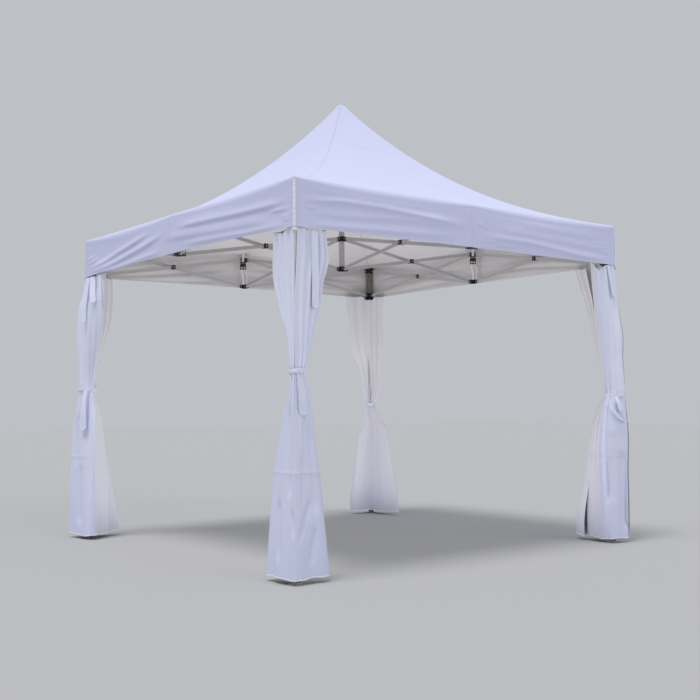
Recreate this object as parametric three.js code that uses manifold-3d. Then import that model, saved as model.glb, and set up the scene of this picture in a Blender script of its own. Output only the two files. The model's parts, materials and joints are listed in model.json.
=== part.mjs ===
// A folding party tent, 3 m by 3 m, standing open, with a curtain tied round each leg.
// Millimetres, +Z up. The origin is on the ground at the middle of the tent. The front faces -Y.
//
// Four telescopic legs stand in the corners. Scissor pairs of flat bars run along each side, two pairs
// to a side, and one more pair runs from the middle of each side to a hub under the peak. Every pair has
// the same span and height, so the whole frame folds together: the sliders and the lower brackets go down,
// the legs come in, and the mast sinks through the top hub.

import * as THREE from 'three';
import { mergeVertices } from 'three/addons/utils/BufferGeometryUtils.js';
import Module from 'manifold-3d';

const wasm = await Module();
wasm.setup();

// Driving sizes
const CANOPY_HALF = 1500;         // middle to eave
const EAVE_HEIGHT = 2410;
const ROOF_RISE = 1055;           // eave to peak
const VALANCE_DEPTH = 310;
const CLOTH = 4;                  // thickness of the canopy's solid
const ROOF_STRAIGHT_SHARE = 0.35; // share of the rise that a plain pyramid would have
const ROOF_CURVE_POWER = 2.5;     // how sharply the rest swoops up to the peak
const ROOF_STEPS = 10;

const LEG_AT = 1455;              // middle to the axis of a leg, along X and Y
const LEG_WIDTH = 38;
const LEG_WALL = 2.5;
const UPPER_LEG_FOOT = 900;       // height of the upper tube's lower end
const LOWER_LEG_WIDTH = 32;
const LOWER_LEG_TOP = 1100;
const LOWER_LEG_WALL = 2;
const FOOT_WIDTH = 76;
const FOOT_THICKNESS = 4;
const PEG_HOLE_RADIUS = 5;
const PEG_HOLE_OUT = 28;          // middle of the foot to a peg hole, along X and Y
const PEG_HOLE_SEGMENTS = 6;

const TRUSS_TOP = 2368;           // height of the upper pivots
const TRUSS_BOTTOM = 2128;        // height of the lower pivots
const BAR_WIDTH = 26;
const BAR_THICKNESS = 11;
const BAR_GAP = 2;                // between the two bars of a pair
const PIN_RADIUS = 4;
const PIN_SIDES = 8;
const PIVOT_BLOCK = 30;           // black block where two bars cross
const PIVOT_BLOCK_THICKNESS = 7;

const CORNER_REACH = 42;          // leg axis to its pivots
const SIDE_REACH = 32;            // middle of a side to the pivots of that side's bars
const INWARD_REACH = 38;          // middle of a side to the pivots of the bars that run to the hub
const HUB_REACH = 36;             // hub axis to its pivots

const CHEEK = 4;                  // wall of a fork
const FORK_HALF_HEIGHT = 14;
const FORK_ROOT_GAP = 1.5;        // end of a bar to the root of its fork
const SLEEVE_WALL = 7;
const SLIDER_HALF_HEIGHT = 28;
const CORNER_SLEEVE_DEPTH = 55;
const BRACKET_HALF_WIDTH = 16;
const BRACKET_HALF_HEIGHT = 19;
const HUB_HALF_WIDTH = 21;
const SOCKET_END = 6;             // plastic beyond the end of a tube in its socket

const MAST_WIDTH = 32;
const MAST_WALL = 2;
const MAST_CAP_RADIUS = 20;
const MAST_CAP_TIP_RADIUS = 6;
const MAST_CAP_RIM = 8;
const MAST_CAP_SIDES = 16;

const CURTAIN_HEM = 12;
const CURTAIN_TOP = 2112;
const CURTAIN_INNER_TOP = 2088;   // the part behind the slider stops lower
const CURTAIN_WALL = 7;
const HEM_GROWTH = 1.1;           // the hem's outline against the top's
const WAIST_RADIUS = 44;
const WAIST_POWER = 1.8;          // how quickly the curtain opens again above and below its tie
const WAIST_STEPS = [0, 0.12, 0.3, 0.6, 1];
// One arm of a curtain seen from above, as distances from the canopy's corner along one side and in from it.
const CURTAIN_ARM_OUTSIDE = [[72, 68], [160, 41], [250, 14], [250, 0], [125, 0], [60, 0]];
const CURTAIN_ARM_INSIDE = [[66, 62], [150, 36], [225, 14], [225, 7], [125, 7], [60, 7]];
// Where the points of a whole outline lie round the tie, in degrees.
const WAIST_ANGLES = [42, 20, 0, -20, -60, -95, -135, -175, -210, -250, -270, -290, -312];

const SEAT = 0.3;                 // gap between pieces that rest on or turn in each other
const MITRE = 0.2;                // half of the gap between two canopy quarters
const LAP = 1;                    // how far joined solids reach into each other
const PAST = 10;                  // how far a cutting solid runs past what it cuts
const CURTAIN_CLEARANCE = 3;      // curtain to slider

const SIDES = ['front', 'right', 'back', 'left'];
const CORNERS = ['front_right', 'back_right', 'back_left', 'front_left'];
const WAIST_HEIGHTS = [1110, 1050, 1180, 1250];

const SPAN = LEG_AT - CORNER_REACH - SIDE_REACH;
const TRUSS_HEIGHT = TRUSS_TOP - TRUSS_BOTTOM;
const TRUSS_MIDDLE = (TRUSS_TOP + TRUSS_BOTTOM) / 2;
const BAR_LENGTH = Math.hypot(SPAN, TRUSS_HEIGHT);
const BAR_SLOPE = Math.atan2(TRUSS_HEIGHT, SPAN);
const PLANE_NEAR = BAR_GAP / 2;
const PLANE_FAR = PLANE_NEAR + BAR_THICKNESS;
const FALLING_PLANE = [PLANE_NEAR, PLANE_FAR];
const RISING_PLANE = [-PLANE_FAR, -PLANE_NEAR];
const SLEEVE_HALF_WIDTH = LEG_WIDTH / 2 + SLEEVE_WALL;
const BRACKET_TOP = roofHeight(LEG_AT + SLEEVE_HALF_WIDTH) - CLOTH - SEAT;
const UPPER_LEG_TOP = BRACKET_TOP - SOCKET_END;

// Finishes
const metal = new THREE.MeshStandardMaterial({ color: 0xb9babf, roughness: 0.38, metalness: 0.85 });
const blackPlastic = new THREE.MeshStandardMaterial({ color: 0x121214, roughness: 0.5, metalness: 0 });
const canopyCloth = new THREE.MeshStandardMaterial({ color: 0xe4e2f2, roughness: 0.75, metalness: 0 });
const curtainCloth = new THREE.MeshStandardMaterial({ color: 0xe9e6ee, roughness: 0.8, metalness: 0 });

// Solids
function solid(geometry) {
  geometry.deleteAttribute('normal');
  geometry.deleteAttribute('uv');
  const merged = mergeVertices(geometry, 1e-3);
  const mesh = new wasm.Mesh({
    numProp: 3,
    vertProperties: new Float32Array(merged.attributes.position.array),
    triVerts: new Uint32Array(merged.index.array),
  });
  return new wasm.Manifold(mesh);
}

function geometryOf(body) {
  const mesh = body.getMesh();
  const geometry = new THREE.BufferGeometry();
  geometry.setAttribute('position', new THREE.BufferAttribute(new Float32Array(mesh.vertProperties), 3));
  geometry.setIndex(new THREE.BufferAttribute(new Uint32Array(mesh.triVerts), 1));
  geometry.computeVertexNormals();
  return geometry;
}

function join(bodies) {
  return bodies.reduce((whole, body) => whole.add(body));
}

function block([x0, x1], [y0, y1], [z0, z1]) {
  const geometry = new THREE.BoxGeometry(x1 - x0, y1 - y0, z1 - z0);
  geometry.translate((x0 + x1) / 2, (y0 + y1) / 2, (z0 + z1) / 2);
  return solid(geometry);
}

// A round pin along Y.
function pin(radius, x, [y0, y1], z) {
  const geometry = new THREE.CylinderGeometry(radius, radius, y1 - y0, PIN_SIDES);
  geometry.translate(x, (y0 + y1) / 2, z);
  return solid(geometry);
}

function square(half) {
  const shape = new THREE.Shape();
  shape.moveTo(-half, -half);
  shape.lineTo(half, -half);
  shape.lineTo(half, half);
  shape.lineTo(-half, half);
  shape.closePath();
  return shape;
}

function squareTube(width, wall, bottom, top) {
  const shape = square(width / 2);
  shape.holes.push(square(width / 2 - wall));
  const geometry = new THREE.ExtrudeGeometry(shape, { depth: top - bottom, bevelEnabled: false });
  geometry.translate(0, 0, bottom);
  return solid(geometry);
}

function sorted(a, b) {
  return a < b ? [a, b] : [b, a];
}

function piece(name, body, material) {
  const mesh = new THREE.Mesh(geometryOf(body), material);
  mesh.name = name;
  return mesh;
}

// Scissor bars lie along X, with their middle pivot at the origin and their flat faces towards Y.
function barShape() {
  const half = BAR_LENGTH / 2;
  const round = BAR_WIDTH / 2;
  const shape = new THREE.Shape();
  shape.moveTo(-half, -round);
  shape.lineTo(half, -round);
  shape.absarc(half, 0, round, -Math.PI / 2, Math.PI / 2, false);
  shape.lineTo(-half, round);
  shape.absarc(-half, 0, round, Math.PI / 2, 1.5 * Math.PI, false);
  return shape;
}

// The hole's flats, and not its corners, keep the gap to the pin.
function pinHole(x) {
  const hole = new THREE.Path();
  hole.absarc(x, 0, (PIN_RADIUS + SEAT) / Math.cos(Math.PI / PIN_SIDES), 0, 2 * Math.PI, true);
  return hole;
}

function flatBar(side, holes) {
  const shape = barShape();
  shape.holes.push(...holes.map(pinHole));
  const geometry = new THREE.ExtrudeGeometry(shape, {
    depth: BAR_THICKNESS,
    bevelEnabled: false,
    curveSegments: PIN_SIDES / 2,
  });
  geometry.rotateX(Math.PI / 2);
  const [near] = sorted(side * PLANE_NEAR, side * PLANE_FAR);
  geometry.translate(0, near + BAR_THICKNESS, 0);
  return solid(geometry);
}

// The falling bar carries the crossing's two blocks and the pin between them.
function fallingBar(side) {
  const half = BAR_LENGTH / 2;
  const blockHalf = PIVOT_BLOCK / 2;
  const onThisBar = sorted(side * PLANE_FAR, side * (PLANE_FAR + PIVOT_BLOCK_THICKNESS));
  const beyondOther = sorted(-side * (PLANE_FAR + SEAT), -side * (PLANE_FAR + SEAT + PIVOT_BLOCK_THICKNESS));
  const pinSpan = sorted(side * PLANE_FAR, -side * (PLANE_FAR + LAP));
  return join([
    flatBar(side, [-half, half]),
    block([-blockHalf, blockHalf], onThisBar, [-blockHalf, blockHalf]),
    block([-blockHalf, blockHalf], beyondOther, [-blockHalf, blockHalf]),
    pin(PIN_RADIUS, 0, pinSpan, 0),
  ]);
}

function risingBar(side) {
  const half = BAR_LENGTH / 2;
  return flatBar(-side, [-half, 0, half]);
}

// One scissor pair runs from the group's origin along +X. The falling bar lies on the +Y face if side is 1.
function addSpan(group, names, side) {
  const falling = piece(names.falling, fallingBar(side), metal);
  const rising = piece(names.rising, risingBar(side), metal);
  falling.rotation.y = BAR_SLOPE;
  rising.rotation.y = -BAR_SLOPE;
  for (const bar of [falling, rising]) {
    bar.position.set(SPAN / 2, 0, TRUSS_MIDDLE);
    group.add(bar);
  }
}

// A fork points along +X and holds the end of a bar. plane gives the bar's two faces along Y.
function fork(reach, plane, height) {
  const [near, far] = sorted(...plane);
  const cheekEnd = reach + BAR_WIDTH / 2;
  const rootEnd = reach - BAR_WIDTH / 2 - FORK_ROOT_GAP;
  const across = [near - SEAT - CHEEK, far + SEAT + CHEEK];
  const tall = [height - FORK_HALF_HEIGHT, height + FORK_HALF_HEIGHT];
  return join([
    block([0, rootEnd], across, tall),
    block([rootEnd - LAP, cheekEnd], [across[0], near - SEAT], tall),
    block([rootEnd - LAP, cheekEnd], [far + SEAT, across[1]], tall),
    pin(PIN_RADIUS, reach, [across[0] + LAP, across[1] - LAP], height),
  ]);
}

function turned(body, degrees) {
  return body.rotate([0, 0, degrees]);
}

function mirrored([near, far]) {
  return [-far, -near];
}

// On a side the falling bars lie inwards, +Y in the front group, and the rising bars outwards.
function sideBracket(height, plane) {
  const half = BRACKET_HALF_WIDTH;
  const tall = [height - BRACKET_HALF_HEIGHT, height + BRACKET_HALF_HEIGHT];
  return join([
    block([-half, half], [-half, half], tall),
    fork(SIDE_REACH, plane, height),
    turned(fork(SIDE_REACH, mirrored(plane), height), 180),
    turned(fork(INWARD_REACH, plane, height), 90),
  ]);
}

// The mast runs through the top hub, and stands on the floor of the lower one.
function hub(height, plane, floor) {
  const half = HUB_HALF_WIDTH;
  const bore = MAST_WIDTH / 2 + SEAT;
  const top = height + BRACKET_HALF_HEIGHT;
  const bottom = height - BRACKET_HALF_HEIGHT;
  const boreBottom = floor > 0 ? bottom + floor : bottom - PAST;
  const forks = [0, 90, 180, 270].map((degrees) => turned(fork(HUB_REACH, plane, height), degrees));
  const whole = join([block([-half, half], [-half, half], [bottom, top]), ...forks]);
  return whole.subtract(block([-bore, bore], [-bore, bore], [boreBottom, top + PAST]));
}

// The roof is a square pyramid that swoops: share is 0 at the peak and 1 at the eave.
function roofHeight(distance) {
  const share = distance / CANOPY_HALF;
  const straight = ROOF_STRAIGHT_SHARE * (1 - share);
  const swoop = (1 - ROOF_STRAIGHT_SHARE) * (1 - share) ** ROOF_CURVE_POWER;
  return EAVE_HEIGHT + ROOF_RISE * (straight + swoop);
}

// Outline of a front canopy quarter in the Y and Z plane: roof, valance, and back along the inside.
function canopyOutline() {
  const outer = [];
  const inner = [];
  for (let step = 0; step <= ROOF_STEPS; step += 1) {
    const distance = (CANOPY_HALF * step) / ROOF_STEPS;
    outer.push(new THREE.Vector2(-distance, roofHeight(distance)));
    const under = Math.min(distance, CANOPY_HALF - CLOTH);
    inner.push(new THREE.Vector2(-under, roofHeight(under) - CLOTH));
  }
  const hem = EAVE_HEIGHT - VALANCE_DEPTH;
  outer.push(new THREE.Vector2(-CANOPY_HALF, hem));
  inner.push(new THREE.Vector2(-(CANOPY_HALF - CLOTH), hem));
  return new THREE.Shape([...outer, ...inner.reverse()]);
}

function canopyQuarter() {
  const length = 2 * CANOPY_HALF;
  const strip = new THREE.ExtrudeGeometry(canopyOutline(), { depth: length, bevelEnabled: false });
  strip.rotateY(Math.PI / 2);
  strip.rotateX(Math.PI / 2);
  strip.translate(-CANOPY_HALF, 0, 0);
  const reach = CANOPY_HALF + PAST;
  const wedge = new THREE.Shape();
  wedge.moveTo(0, -MITRE);
  wedge.lineTo(-reach, -reach - MITRE);
  wedge.lineTo(reach, -reach - MITRE);
  wedge.closePath();
  const depth = ROOF_RISE + VALANCE_DEPTH + 2 * PAST;
  const quarter = new THREE.ExtrudeGeometry(wedge, { depth, bevelEnabled: false });
  quarter.translate(0, 0, EAVE_HEIGHT - VALANCE_DEPTH - PAST);
  return solid(strip).intersect(solid(quarter));
}

// The mast's cap lifts the cloth at the peak and follows its slope.
function mast() {
  const shoulder = roofHeight(MAST_CAP_RADIUS) - CLOTH - SEAT;
  const tip = roofHeight(MAST_CAP_TIP_RADIUS) - CLOTH - SEAT;
  const rim = shoulder - MAST_CAP_RIM;
  const bottom = TRUSS_BOTTOM - BRACKET_HALF_HEIGHT + SOCKET_END + SEAT;
  const cap = new THREE.LatheGeometry([
    new THREE.Vector2(0, rim),
    new THREE.Vector2(MAST_CAP_RADIUS, rim),
    new THREE.Vector2(MAST_CAP_RADIUS, shoulder),
    new THREE.Vector2(MAST_CAP_TIP_RADIUS, tip),
    new THREE.Vector2(0, tip),
  ], MAST_CAP_SIDES);
  cap.rotateX(Math.PI / 2);
  return squareTube(MAST_WIDTH, MAST_WALL, bottom, rim + LAP).add(solid(cap));
}

// Leg pieces stand on the leg's own axis. The bars come from -X and from +Y.
function cornerForks(plane, height) {
  return [
    turned(fork(CORNER_REACH, mirrored(plane), height), 180),
    turned(fork(CORNER_REACH, plane, height), 90),
  ];
}

function cornerBracket() {
  const half = SLEEVE_HALF_WIDTH;
  const bore = LEG_WIDTH / 2 + SEAT;
  const bottom = BRACKET_TOP - CORNER_SLEEVE_DEPTH;
  const whole = join([
    block([-half, half], [-half, half], [bottom, BRACKET_TOP]),
    ...cornerForks(RISING_PLANE, TRUSS_TOP),
  ]);
  return whole.subtract(block([-bore, bore], [-bore, bore], [bottom - PAST, UPPER_LEG_TOP + SEAT]));
}

function slider() {
  const half = SLEEVE_HALF_WIDTH;
  const bore = LEG_WIDTH / 2 + SEAT;
  const bottom = TRUSS_BOTTOM - SLIDER_HALF_HEIGHT;
  const top = TRUSS_BOTTOM + SLIDER_HALF_HEIGHT;
  const whole = join([
    block([-half, half], [-half, half], [bottom, top]),
    ...cornerForks(FALLING_PLANE, TRUSS_BOTTOM),
  ]);
  return whole.subtract(block([-bore, bore], [-bore, bore], [bottom - PAST, top + PAST]));
}

function lowerLeg() {
  const half = FOOT_WIDTH / 2;
  const plate = square(half);
  for (const side of [-1, 1]) {
    const hole = new THREE.Path();
    hole.absarc(side * PEG_HOLE_OUT, side * PEG_HOLE_OUT, PEG_HOLE_RADIUS, 0, 2 * Math.PI, true);
    plate.holes.push(hole);
  }
  const foot = new THREE.ExtrudeGeometry(plate, {
    depth: FOOT_THICKNESS,
    bevelEnabled: false,
    curveSegments: PEG_HOLE_SEGMENTS,
  });
  const tube = squareTube(LOWER_LEG_WIDTH, LOWER_LEG_WALL, FOOT_THICKNESS - LAP, LOWER_LEG_TOP);
  return tube.add(solid(foot));
}

// A curtain's outline seen from above runs from the slit inside the leg, round the end of one arm, past the
// canopy's corner and round the other arm.
function curtainOutline(arm, corner) {
  const otherArm = arm.map(([along, across]) => [across, along]).reverse();
  return [...arm, [corner, corner], ...otherArm];
}

// One level of the curtain: waist is 1 at the tie and 0 where the cloth hangs open.
function curtainRing(height, waist, growth) {
  const legFromCorner = CANOPY_HALF - CLOTH - SEAT - LEG_AT;
  const face = (arm, inset) => curtainOutline(arm, inset).map(([along, across], index) => {
    const angle = THREE.MathUtils.degToRad(WAIST_ANGLES[index]);
    const radius = WAIST_RADIUS - inset;
    const open = new THREE.Vector2(along - legFromCorner, across - legFromCorner).multiplyScalar(growth);
    const tied = new THREE.Vector2(radius * Math.cos(angle), radius * Math.sin(angle));
    const point = open.lerp(tied, waist);
    return new THREE.Vector3(-point.x, point.y, height);
  });
  return [...face(CURTAIN_ARM_OUTSIDE, 0), ...face(CURTAIN_ARM_INSIDE, CURTAIN_WALL).reverse()];
}

// Joins matching rings of points into one closed solid.
function loft(rings) {
  const count = rings[0].length;
  const positions = rings.flat().flatMap((point) => point.toArray());
  const index = [];
  for (let ring = 0; ring < rings.length - 1; ring += 1) {
    for (let k = 0; k < count; k += 1) {
      const next = (k + 1) % count;
      const [a, b] = [ring * count + k, ring * count + next];
      index.push(a, b, b + count, a, b + count, a + count);
    }
  }
  const last = (rings.length - 1) * count;
  for (const [ring, offset, flip] of [[rings[0], 0, true], [rings.at(-1), last, false]]) {
    const flat = ring.map((point) => new THREE.Vector2(point.x, point.y));
    for (const [a, b, c] of THREE.ShapeUtils.triangulateShape(flat, [])) {
      index.push(...(flip ? [a, c, b] : [a, b, c]).map((k) => k + offset));
    }
  }
  const geometry = new THREE.BufferGeometry();
  geometry.setAttribute('position', new THREE.Float32BufferAttribute(positions, 3));
  geometry.setIndex(index);
  return solid(geometry);
}

function curtain(waistHeight) {
  const rings = [];
  const tiedAt = (step) => (1 - step) ** WAIST_POWER;
  for (const step of [...WAIST_STEPS].reverse()) {
    const height = waistHeight + (CURTAIN_HEM - waistHeight) * step;
    rings.push(curtainRing(height, tiedAt(step), 1 + (HEM_GROWTH - 1) * step));
  }
  for (const step of WAIST_STEPS.slice(1)) {
    const height = waistHeight + (CURTAIN_TOP - waistHeight) * step;
    rings.push(curtainRing(height, tiedAt(step), 1));
  }
  const outside = SLEEVE_HALF_WIDTH + CURTAIN_CLEARANCE;
  const behindSlider = block(
    [-CANOPY_HALF, outside],
    [-outside, CANOPY_HALF],
    [CURTAIN_INNER_TOP, CURTAIN_TOP + PAST],
  );
  return loft(rings).subtract(behindSlider);
}

function groupAt(parent, x, y, degrees) {
  const group = new THREE.Group();
  group.position.set(x, y, 0);
  group.rotation.z = THREE.MathUtils.degToRad(degrees);
  parent.add(group);
  return group;
}

const tent = new THREE.Group();
tent.name = 'party_tent';

tent.add(
  piece('top_hub', hub(TRUSS_TOP, FALLING_PLANE, 0), blackPlastic),
  piece('lower_hub', hub(TRUSS_BOTTOM, RISING_PLANE, SOCKET_END), blackPlastic),
  piece('mast', mast(), metal),
);

// Each side group is the front one turned about the middle of the tent.
SIDES.forEach((side, turn) => {
  const group = groupAt(tent, 0, 0, 90 * turn);
  const nextCorner = CORNERS[turn];
  const lastCorner = CORNERS[(turn + 3) % 4];

  group.add(piece(`canopy_${side}`, canopyQuarter(), canopyCloth));

  const brackets = groupAt(group, 0, -LEG_AT, 0);
  brackets.add(
    piece(`upper_bracket_${side}`, sideBracket(TRUSS_TOP, FALLING_PLANE), blackPlastic),
    piece(`lower_bracket_${side}`, sideBracket(TRUSS_BOTTOM, RISING_PLANE), blackPlastic),
  );

  addSpan(groupAt(group, SIDE_REACH, -LEG_AT, 0), {
    falling: `${side}_falling_bar_to_${nextCorner}`,
    rising: `${side}_rising_bar_to_${nextCorner}`,
  }, 1);
  addSpan(groupAt(group, -SIDE_REACH, -LEG_AT, 180), {
    falling: `${side}_falling_bar_to_${lastCorner}`,
    rising: `${side}_rising_bar_to_${lastCorner}`,
  }, -1);
  addSpan(groupAt(group, 0, -HUB_REACH, -90), {
    falling: `hub_falling_bar_to_${side}`,
    rising: `hub_rising_bar_to_${side}`,
  }, 1);
});

// Each corner group is the front right one turned about the middle of the tent.
CORNERS.forEach((corner, turn) => {
  const group = groupAt(tent, 0, 0, 90 * turn);
  const leg = groupAt(group, LEG_AT, -LEG_AT, 0);
  leg.add(
    piece(`corner_bracket_${corner}`, cornerBracket(), blackPlastic),
    piece(`slider_${corner}`, slider(), blackPlastic),
    piece(`leg_upper_${corner}`, squareTube(LEG_WIDTH, LEG_WALL, UPPER_LEG_FOOT, UPPER_LEG_TOP), metal),
    piece(`leg_lower_${corner}`, lowerLeg(), metal),
    piece(`curtain_${corner}`, curtain(WAIST_HEIGHTS[turn]), curtainCloth),
  );
});

export default tent;
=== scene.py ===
# %% [markdown]
# # A party tent with curtains round its legs
# This notebook dresses a folding party tent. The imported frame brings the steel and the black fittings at
# their real size; here they get their finish, and the cloth is made: a swooping roof, a wrinkled valance
# and a gathered curtain round each leg. Everything is in metres, with +Z up and the front side facing -Y.

# %% Load the frame
import json
import math

import bmesh
import bpy
import numpy as np
from mathutils import Matrix, Vector


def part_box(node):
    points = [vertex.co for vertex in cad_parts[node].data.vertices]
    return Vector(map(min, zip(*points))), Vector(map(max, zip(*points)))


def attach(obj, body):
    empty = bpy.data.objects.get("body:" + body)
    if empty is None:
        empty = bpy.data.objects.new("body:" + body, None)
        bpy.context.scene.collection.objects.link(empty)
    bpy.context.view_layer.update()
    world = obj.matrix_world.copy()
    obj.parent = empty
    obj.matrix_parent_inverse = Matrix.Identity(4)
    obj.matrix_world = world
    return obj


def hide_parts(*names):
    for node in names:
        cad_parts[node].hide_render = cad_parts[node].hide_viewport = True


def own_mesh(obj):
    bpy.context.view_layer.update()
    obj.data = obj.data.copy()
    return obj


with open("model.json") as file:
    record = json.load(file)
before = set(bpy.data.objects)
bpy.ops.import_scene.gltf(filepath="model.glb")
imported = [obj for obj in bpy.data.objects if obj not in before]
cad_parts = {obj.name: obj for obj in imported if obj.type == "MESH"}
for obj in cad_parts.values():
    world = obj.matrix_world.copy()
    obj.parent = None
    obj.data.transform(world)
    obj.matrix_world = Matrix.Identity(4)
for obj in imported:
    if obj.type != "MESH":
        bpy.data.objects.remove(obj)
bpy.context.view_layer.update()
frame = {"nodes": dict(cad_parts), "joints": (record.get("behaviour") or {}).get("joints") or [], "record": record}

SIDES = ["front", "right", "back", "left"]
CORNERS = ["front_right", "back_right", "back_left", "front_left"]
body_of = {n: b for b, nodes in frame["record"]["behaviour"]["bodies"].items() for n in nodes}
joints = {j["name"]: j for j in frame["joints"]}

# %% [markdown]
# ## The sizes that the frame gives
# A sewn cover has to fit what carries it, so its sizes aren't typed in again: the eave comes from the
# hinge line of the roof, the curtain's height from the curtain's solid, and the legs' places from the
# legs.

# %% Read the sizes from the frame
EAVE = joints["canopy_drape_front"]["pos_m"][2]
canopy_low, canopy_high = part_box("canopy_front")
HALF = -canopy_low.y
ROOF_RISE = canopy_high.z - EAVE
CURTAIN_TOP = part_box("curtain_front_right")[1].z
leg_low, leg_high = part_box("leg_upper_front_right")
LEG_AT = (leg_low.x + leg_high.x) / 2
print(f"eave {EAVE:.3f}, half side {HALF:.3f}, rise {ROOF_RISE:.3f}, legs at {LEG_AT:.3f}")

# %% [markdown]
# ## Camera
# The photograph looks at the front left corner from about 8 m away and chest height, nearly level, with a
# slight tilt of the horizon. Place, turn and lens were found by matching the feet, the eave and the peak.
# A camera can be aimed with a constraint as well, but a matrix of its three directions also takes the
# tilt.

# %% Camera
CAMERA_PLACE = Vector((-4.966, -6.491, 1.047))
CAMERA_YAW = math.radians(37.84)
CAMERA_PITCH = math.radians(3.07)
CAMERA_ROLL = math.radians(-0.40)
CAMERA_LENS = 53.24
CAMERA_SIGHT = 200            # nothing further away is drawn

looking = Vector((
    math.sin(CAMERA_YAW) * math.cos(CAMERA_PITCH),
    math.cos(CAMERA_YAW) * math.cos(CAMERA_PITCH),
    math.sin(CAMERA_PITCH),
))
level_right = Vector((math.cos(CAMERA_YAW), -math.sin(CAMERA_YAW), 0))
level_up = level_right.cross(looking)
image_right = math.cos(CAMERA_ROLL) * level_right + math.sin(CAMERA_ROLL) * level_up
image_up = image_right.cross(looking)
camera = bpy.data.objects.new("camera", bpy.data.cameras.new("camera"))
camera.data.lens = CAMERA_LENS
camera.data.clip_end = CAMERA_SIGHT
turn = Matrix((image_right, image_up, -looking)).transposed()
camera.matrix_world = Matrix.Translation(CAMERA_PLACE) @ turn.to_4x4()
bpy.context.scene.collection.objects.link(camera)
bpy.context.scene.camera = camera
print("camera at", [round(value, 3) for value in camera.matrix_world.translation])

# %% [markdown]
# ## Floor and surroundings
# The tent stands on a plain floor in plain surroundings, both a little darker than its white cloth, which
# keeps its outline clear. The floor is one wide square, so that its edge lies past the horizon. The
# standard view transform keeps white cloth white.

# %% Floor and surroundings
FLOOR_HALF = 40.0
FLOOR_COLOUR = (0.46, 0.46, 0.47, 1)
FLOOR_ROUGHNESS = 0.9
SURROUND_COLOUR = (0.51, 0.53, 0.56, 1)

bpy.context.scene.view_settings.view_transform = "Standard"

floor_mesh = bpy.data.meshes.new("floor")
floor_corners = [(x * FLOOR_HALF, y * FLOOR_HALF, 0) for x, y in ((-1, -1), (1, -1), (1, 1), (-1, 1))]
floor_mesh.from_pydata(floor_corners, [], [(0, 1, 2, 3)])
floor = bpy.data.objects.new("floor", floor_mesh)
bpy.context.scene.collection.objects.link(floor)
floor_paint = bpy.data.materials.new("floor_paint")
floor_paint.use_nodes = True
floor_shader = floor_paint.node_tree.nodes["Principled BSDF"]
floor_shader.inputs["Base Color"].default_value = FLOOR_COLOUR
floor_shader.inputs["Roughness"].default_value = FLOOR_ROUGHNESS
floor_mesh.materials.append(floor_paint)

world = bpy.data.worlds.new("surround")
world.use_nodes = True
world.node_tree.nodes["Background"].inputs["Color"].default_value = SURROUND_COLOUR
world.node_tree.nodes["Background"].inputs["Strength"].default_value = 1.0
bpy.context.scene.world = world
print(f"floor {2 * FLOOR_HALF:.0f} m wide, and an even surround")

# %% [markdown]
# ## Light
# White cloth shows its folds only in slanting light, so one soft key comes from high on the left and a
# weak fill from the front. Outdoors the ground throws much light up under such a roof. A brighter floor
# would do that too, but it would drown the tent's outline, so a wide lamp lies on the floor here, unseen
# by the camera.

# %% Suns
SUN_COLOUR = (1.0, 0.99, 0.97)


def sun(name, strength, azimuth, elevation, softness):
    """A soft sun; azimuth 0 shines from the front side and 90 from the right side."""
    light = bpy.data.lights.new(name, "SUN")
    light.energy = strength
    light.angle = math.radians(softness)
    light.color = SUN_COLOUR
    lamp = bpy.data.objects.new(name, light)
    a, e = math.radians(azimuth), math.radians(elevation)
    towards = Vector((math.sin(a) * math.cos(e), -math.cos(a) * math.cos(e), math.sin(e)))
    lamp.rotation_euler = towards.to_track_quat("Z", "Y").to_euler()
    bpy.context.scene.collection.objects.link(lamp)
    print(f"{name}: from {azimuth} degrees round and {elevation} up, strength {strength}")


sun("key", strength=1.66, azimuth=-78, elevation=71, softness=20)
sun("fill", strength=0.40, azimuth=10, elevation=30, softness=40)

# %% Light from the ground
BOUNCE_COLOUR = (1.0, 0.975, 0.95)
BOUNCE_SIZE = 2.4
BOUNCE_POWER = 34.0
BOUNCE_HEIGHT = 0.005

bounce_light = bpy.data.lights.new("bounce", "AREA")
bounce_light.size = BOUNCE_SIZE
bounce_light.energy = BOUNCE_POWER
bounce_light.color = BOUNCE_COLOUR
bounce = bpy.data.objects.new("bounce", bounce_light)
bounce.rotation_euler = (math.pi, 0, 0)
bounce.location = (0, 0, BOUNCE_HEIGHT)
bounce.visible_camera = False
bounce.visible_glossy = False
bpy.context.scene.collection.objects.link(bounce)
print(f"bounce: {BOUNCE_SIZE} m wide, {BOUNCE_POWER:.0f} W, shining up")

# %% [markdown]
# ## Finishes
# A finish is a small tree of nodes. The cloth needs the most: its thread shows only close up, so the
# weave is a fine bump from the cloth's own flat coordinates, which stay with the threads when the tent
# folds. Its stitched seams are drawn by a number kept at each point, the distance to the nearest seam.
# Another way would be painted images, but nodes stay sharp at any distance and need no file.

# %% Node helpers
def finish(name, roughness, **sockets):
    """A material, its nodes and links, and its Principled shader with constant sockets set."""
    material = bpy.data.materials.new(name)
    material.use_nodes = True
    tree = material.node_tree
    shader = tree.nodes["Principled BSDF"]
    shader.inputs["Roughness"].default_value = roughness
    for socket, value in sockets.items():
        shader.inputs[socket.replace("_", " ")].default_value = value
    return material, tree, shader


def node(tree, kind, **settings):
    """A new node; a setting named in_NAME goes to the input called NAME, any other to the node."""
    made = tree.nodes.new(kind)
    for key, value in settings.items():
        if key.startswith("in_"):
            made.inputs[key[3:].replace("_", " ")].default_value = value
        else:
            setattr(made, key, value)
    return made


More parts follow.
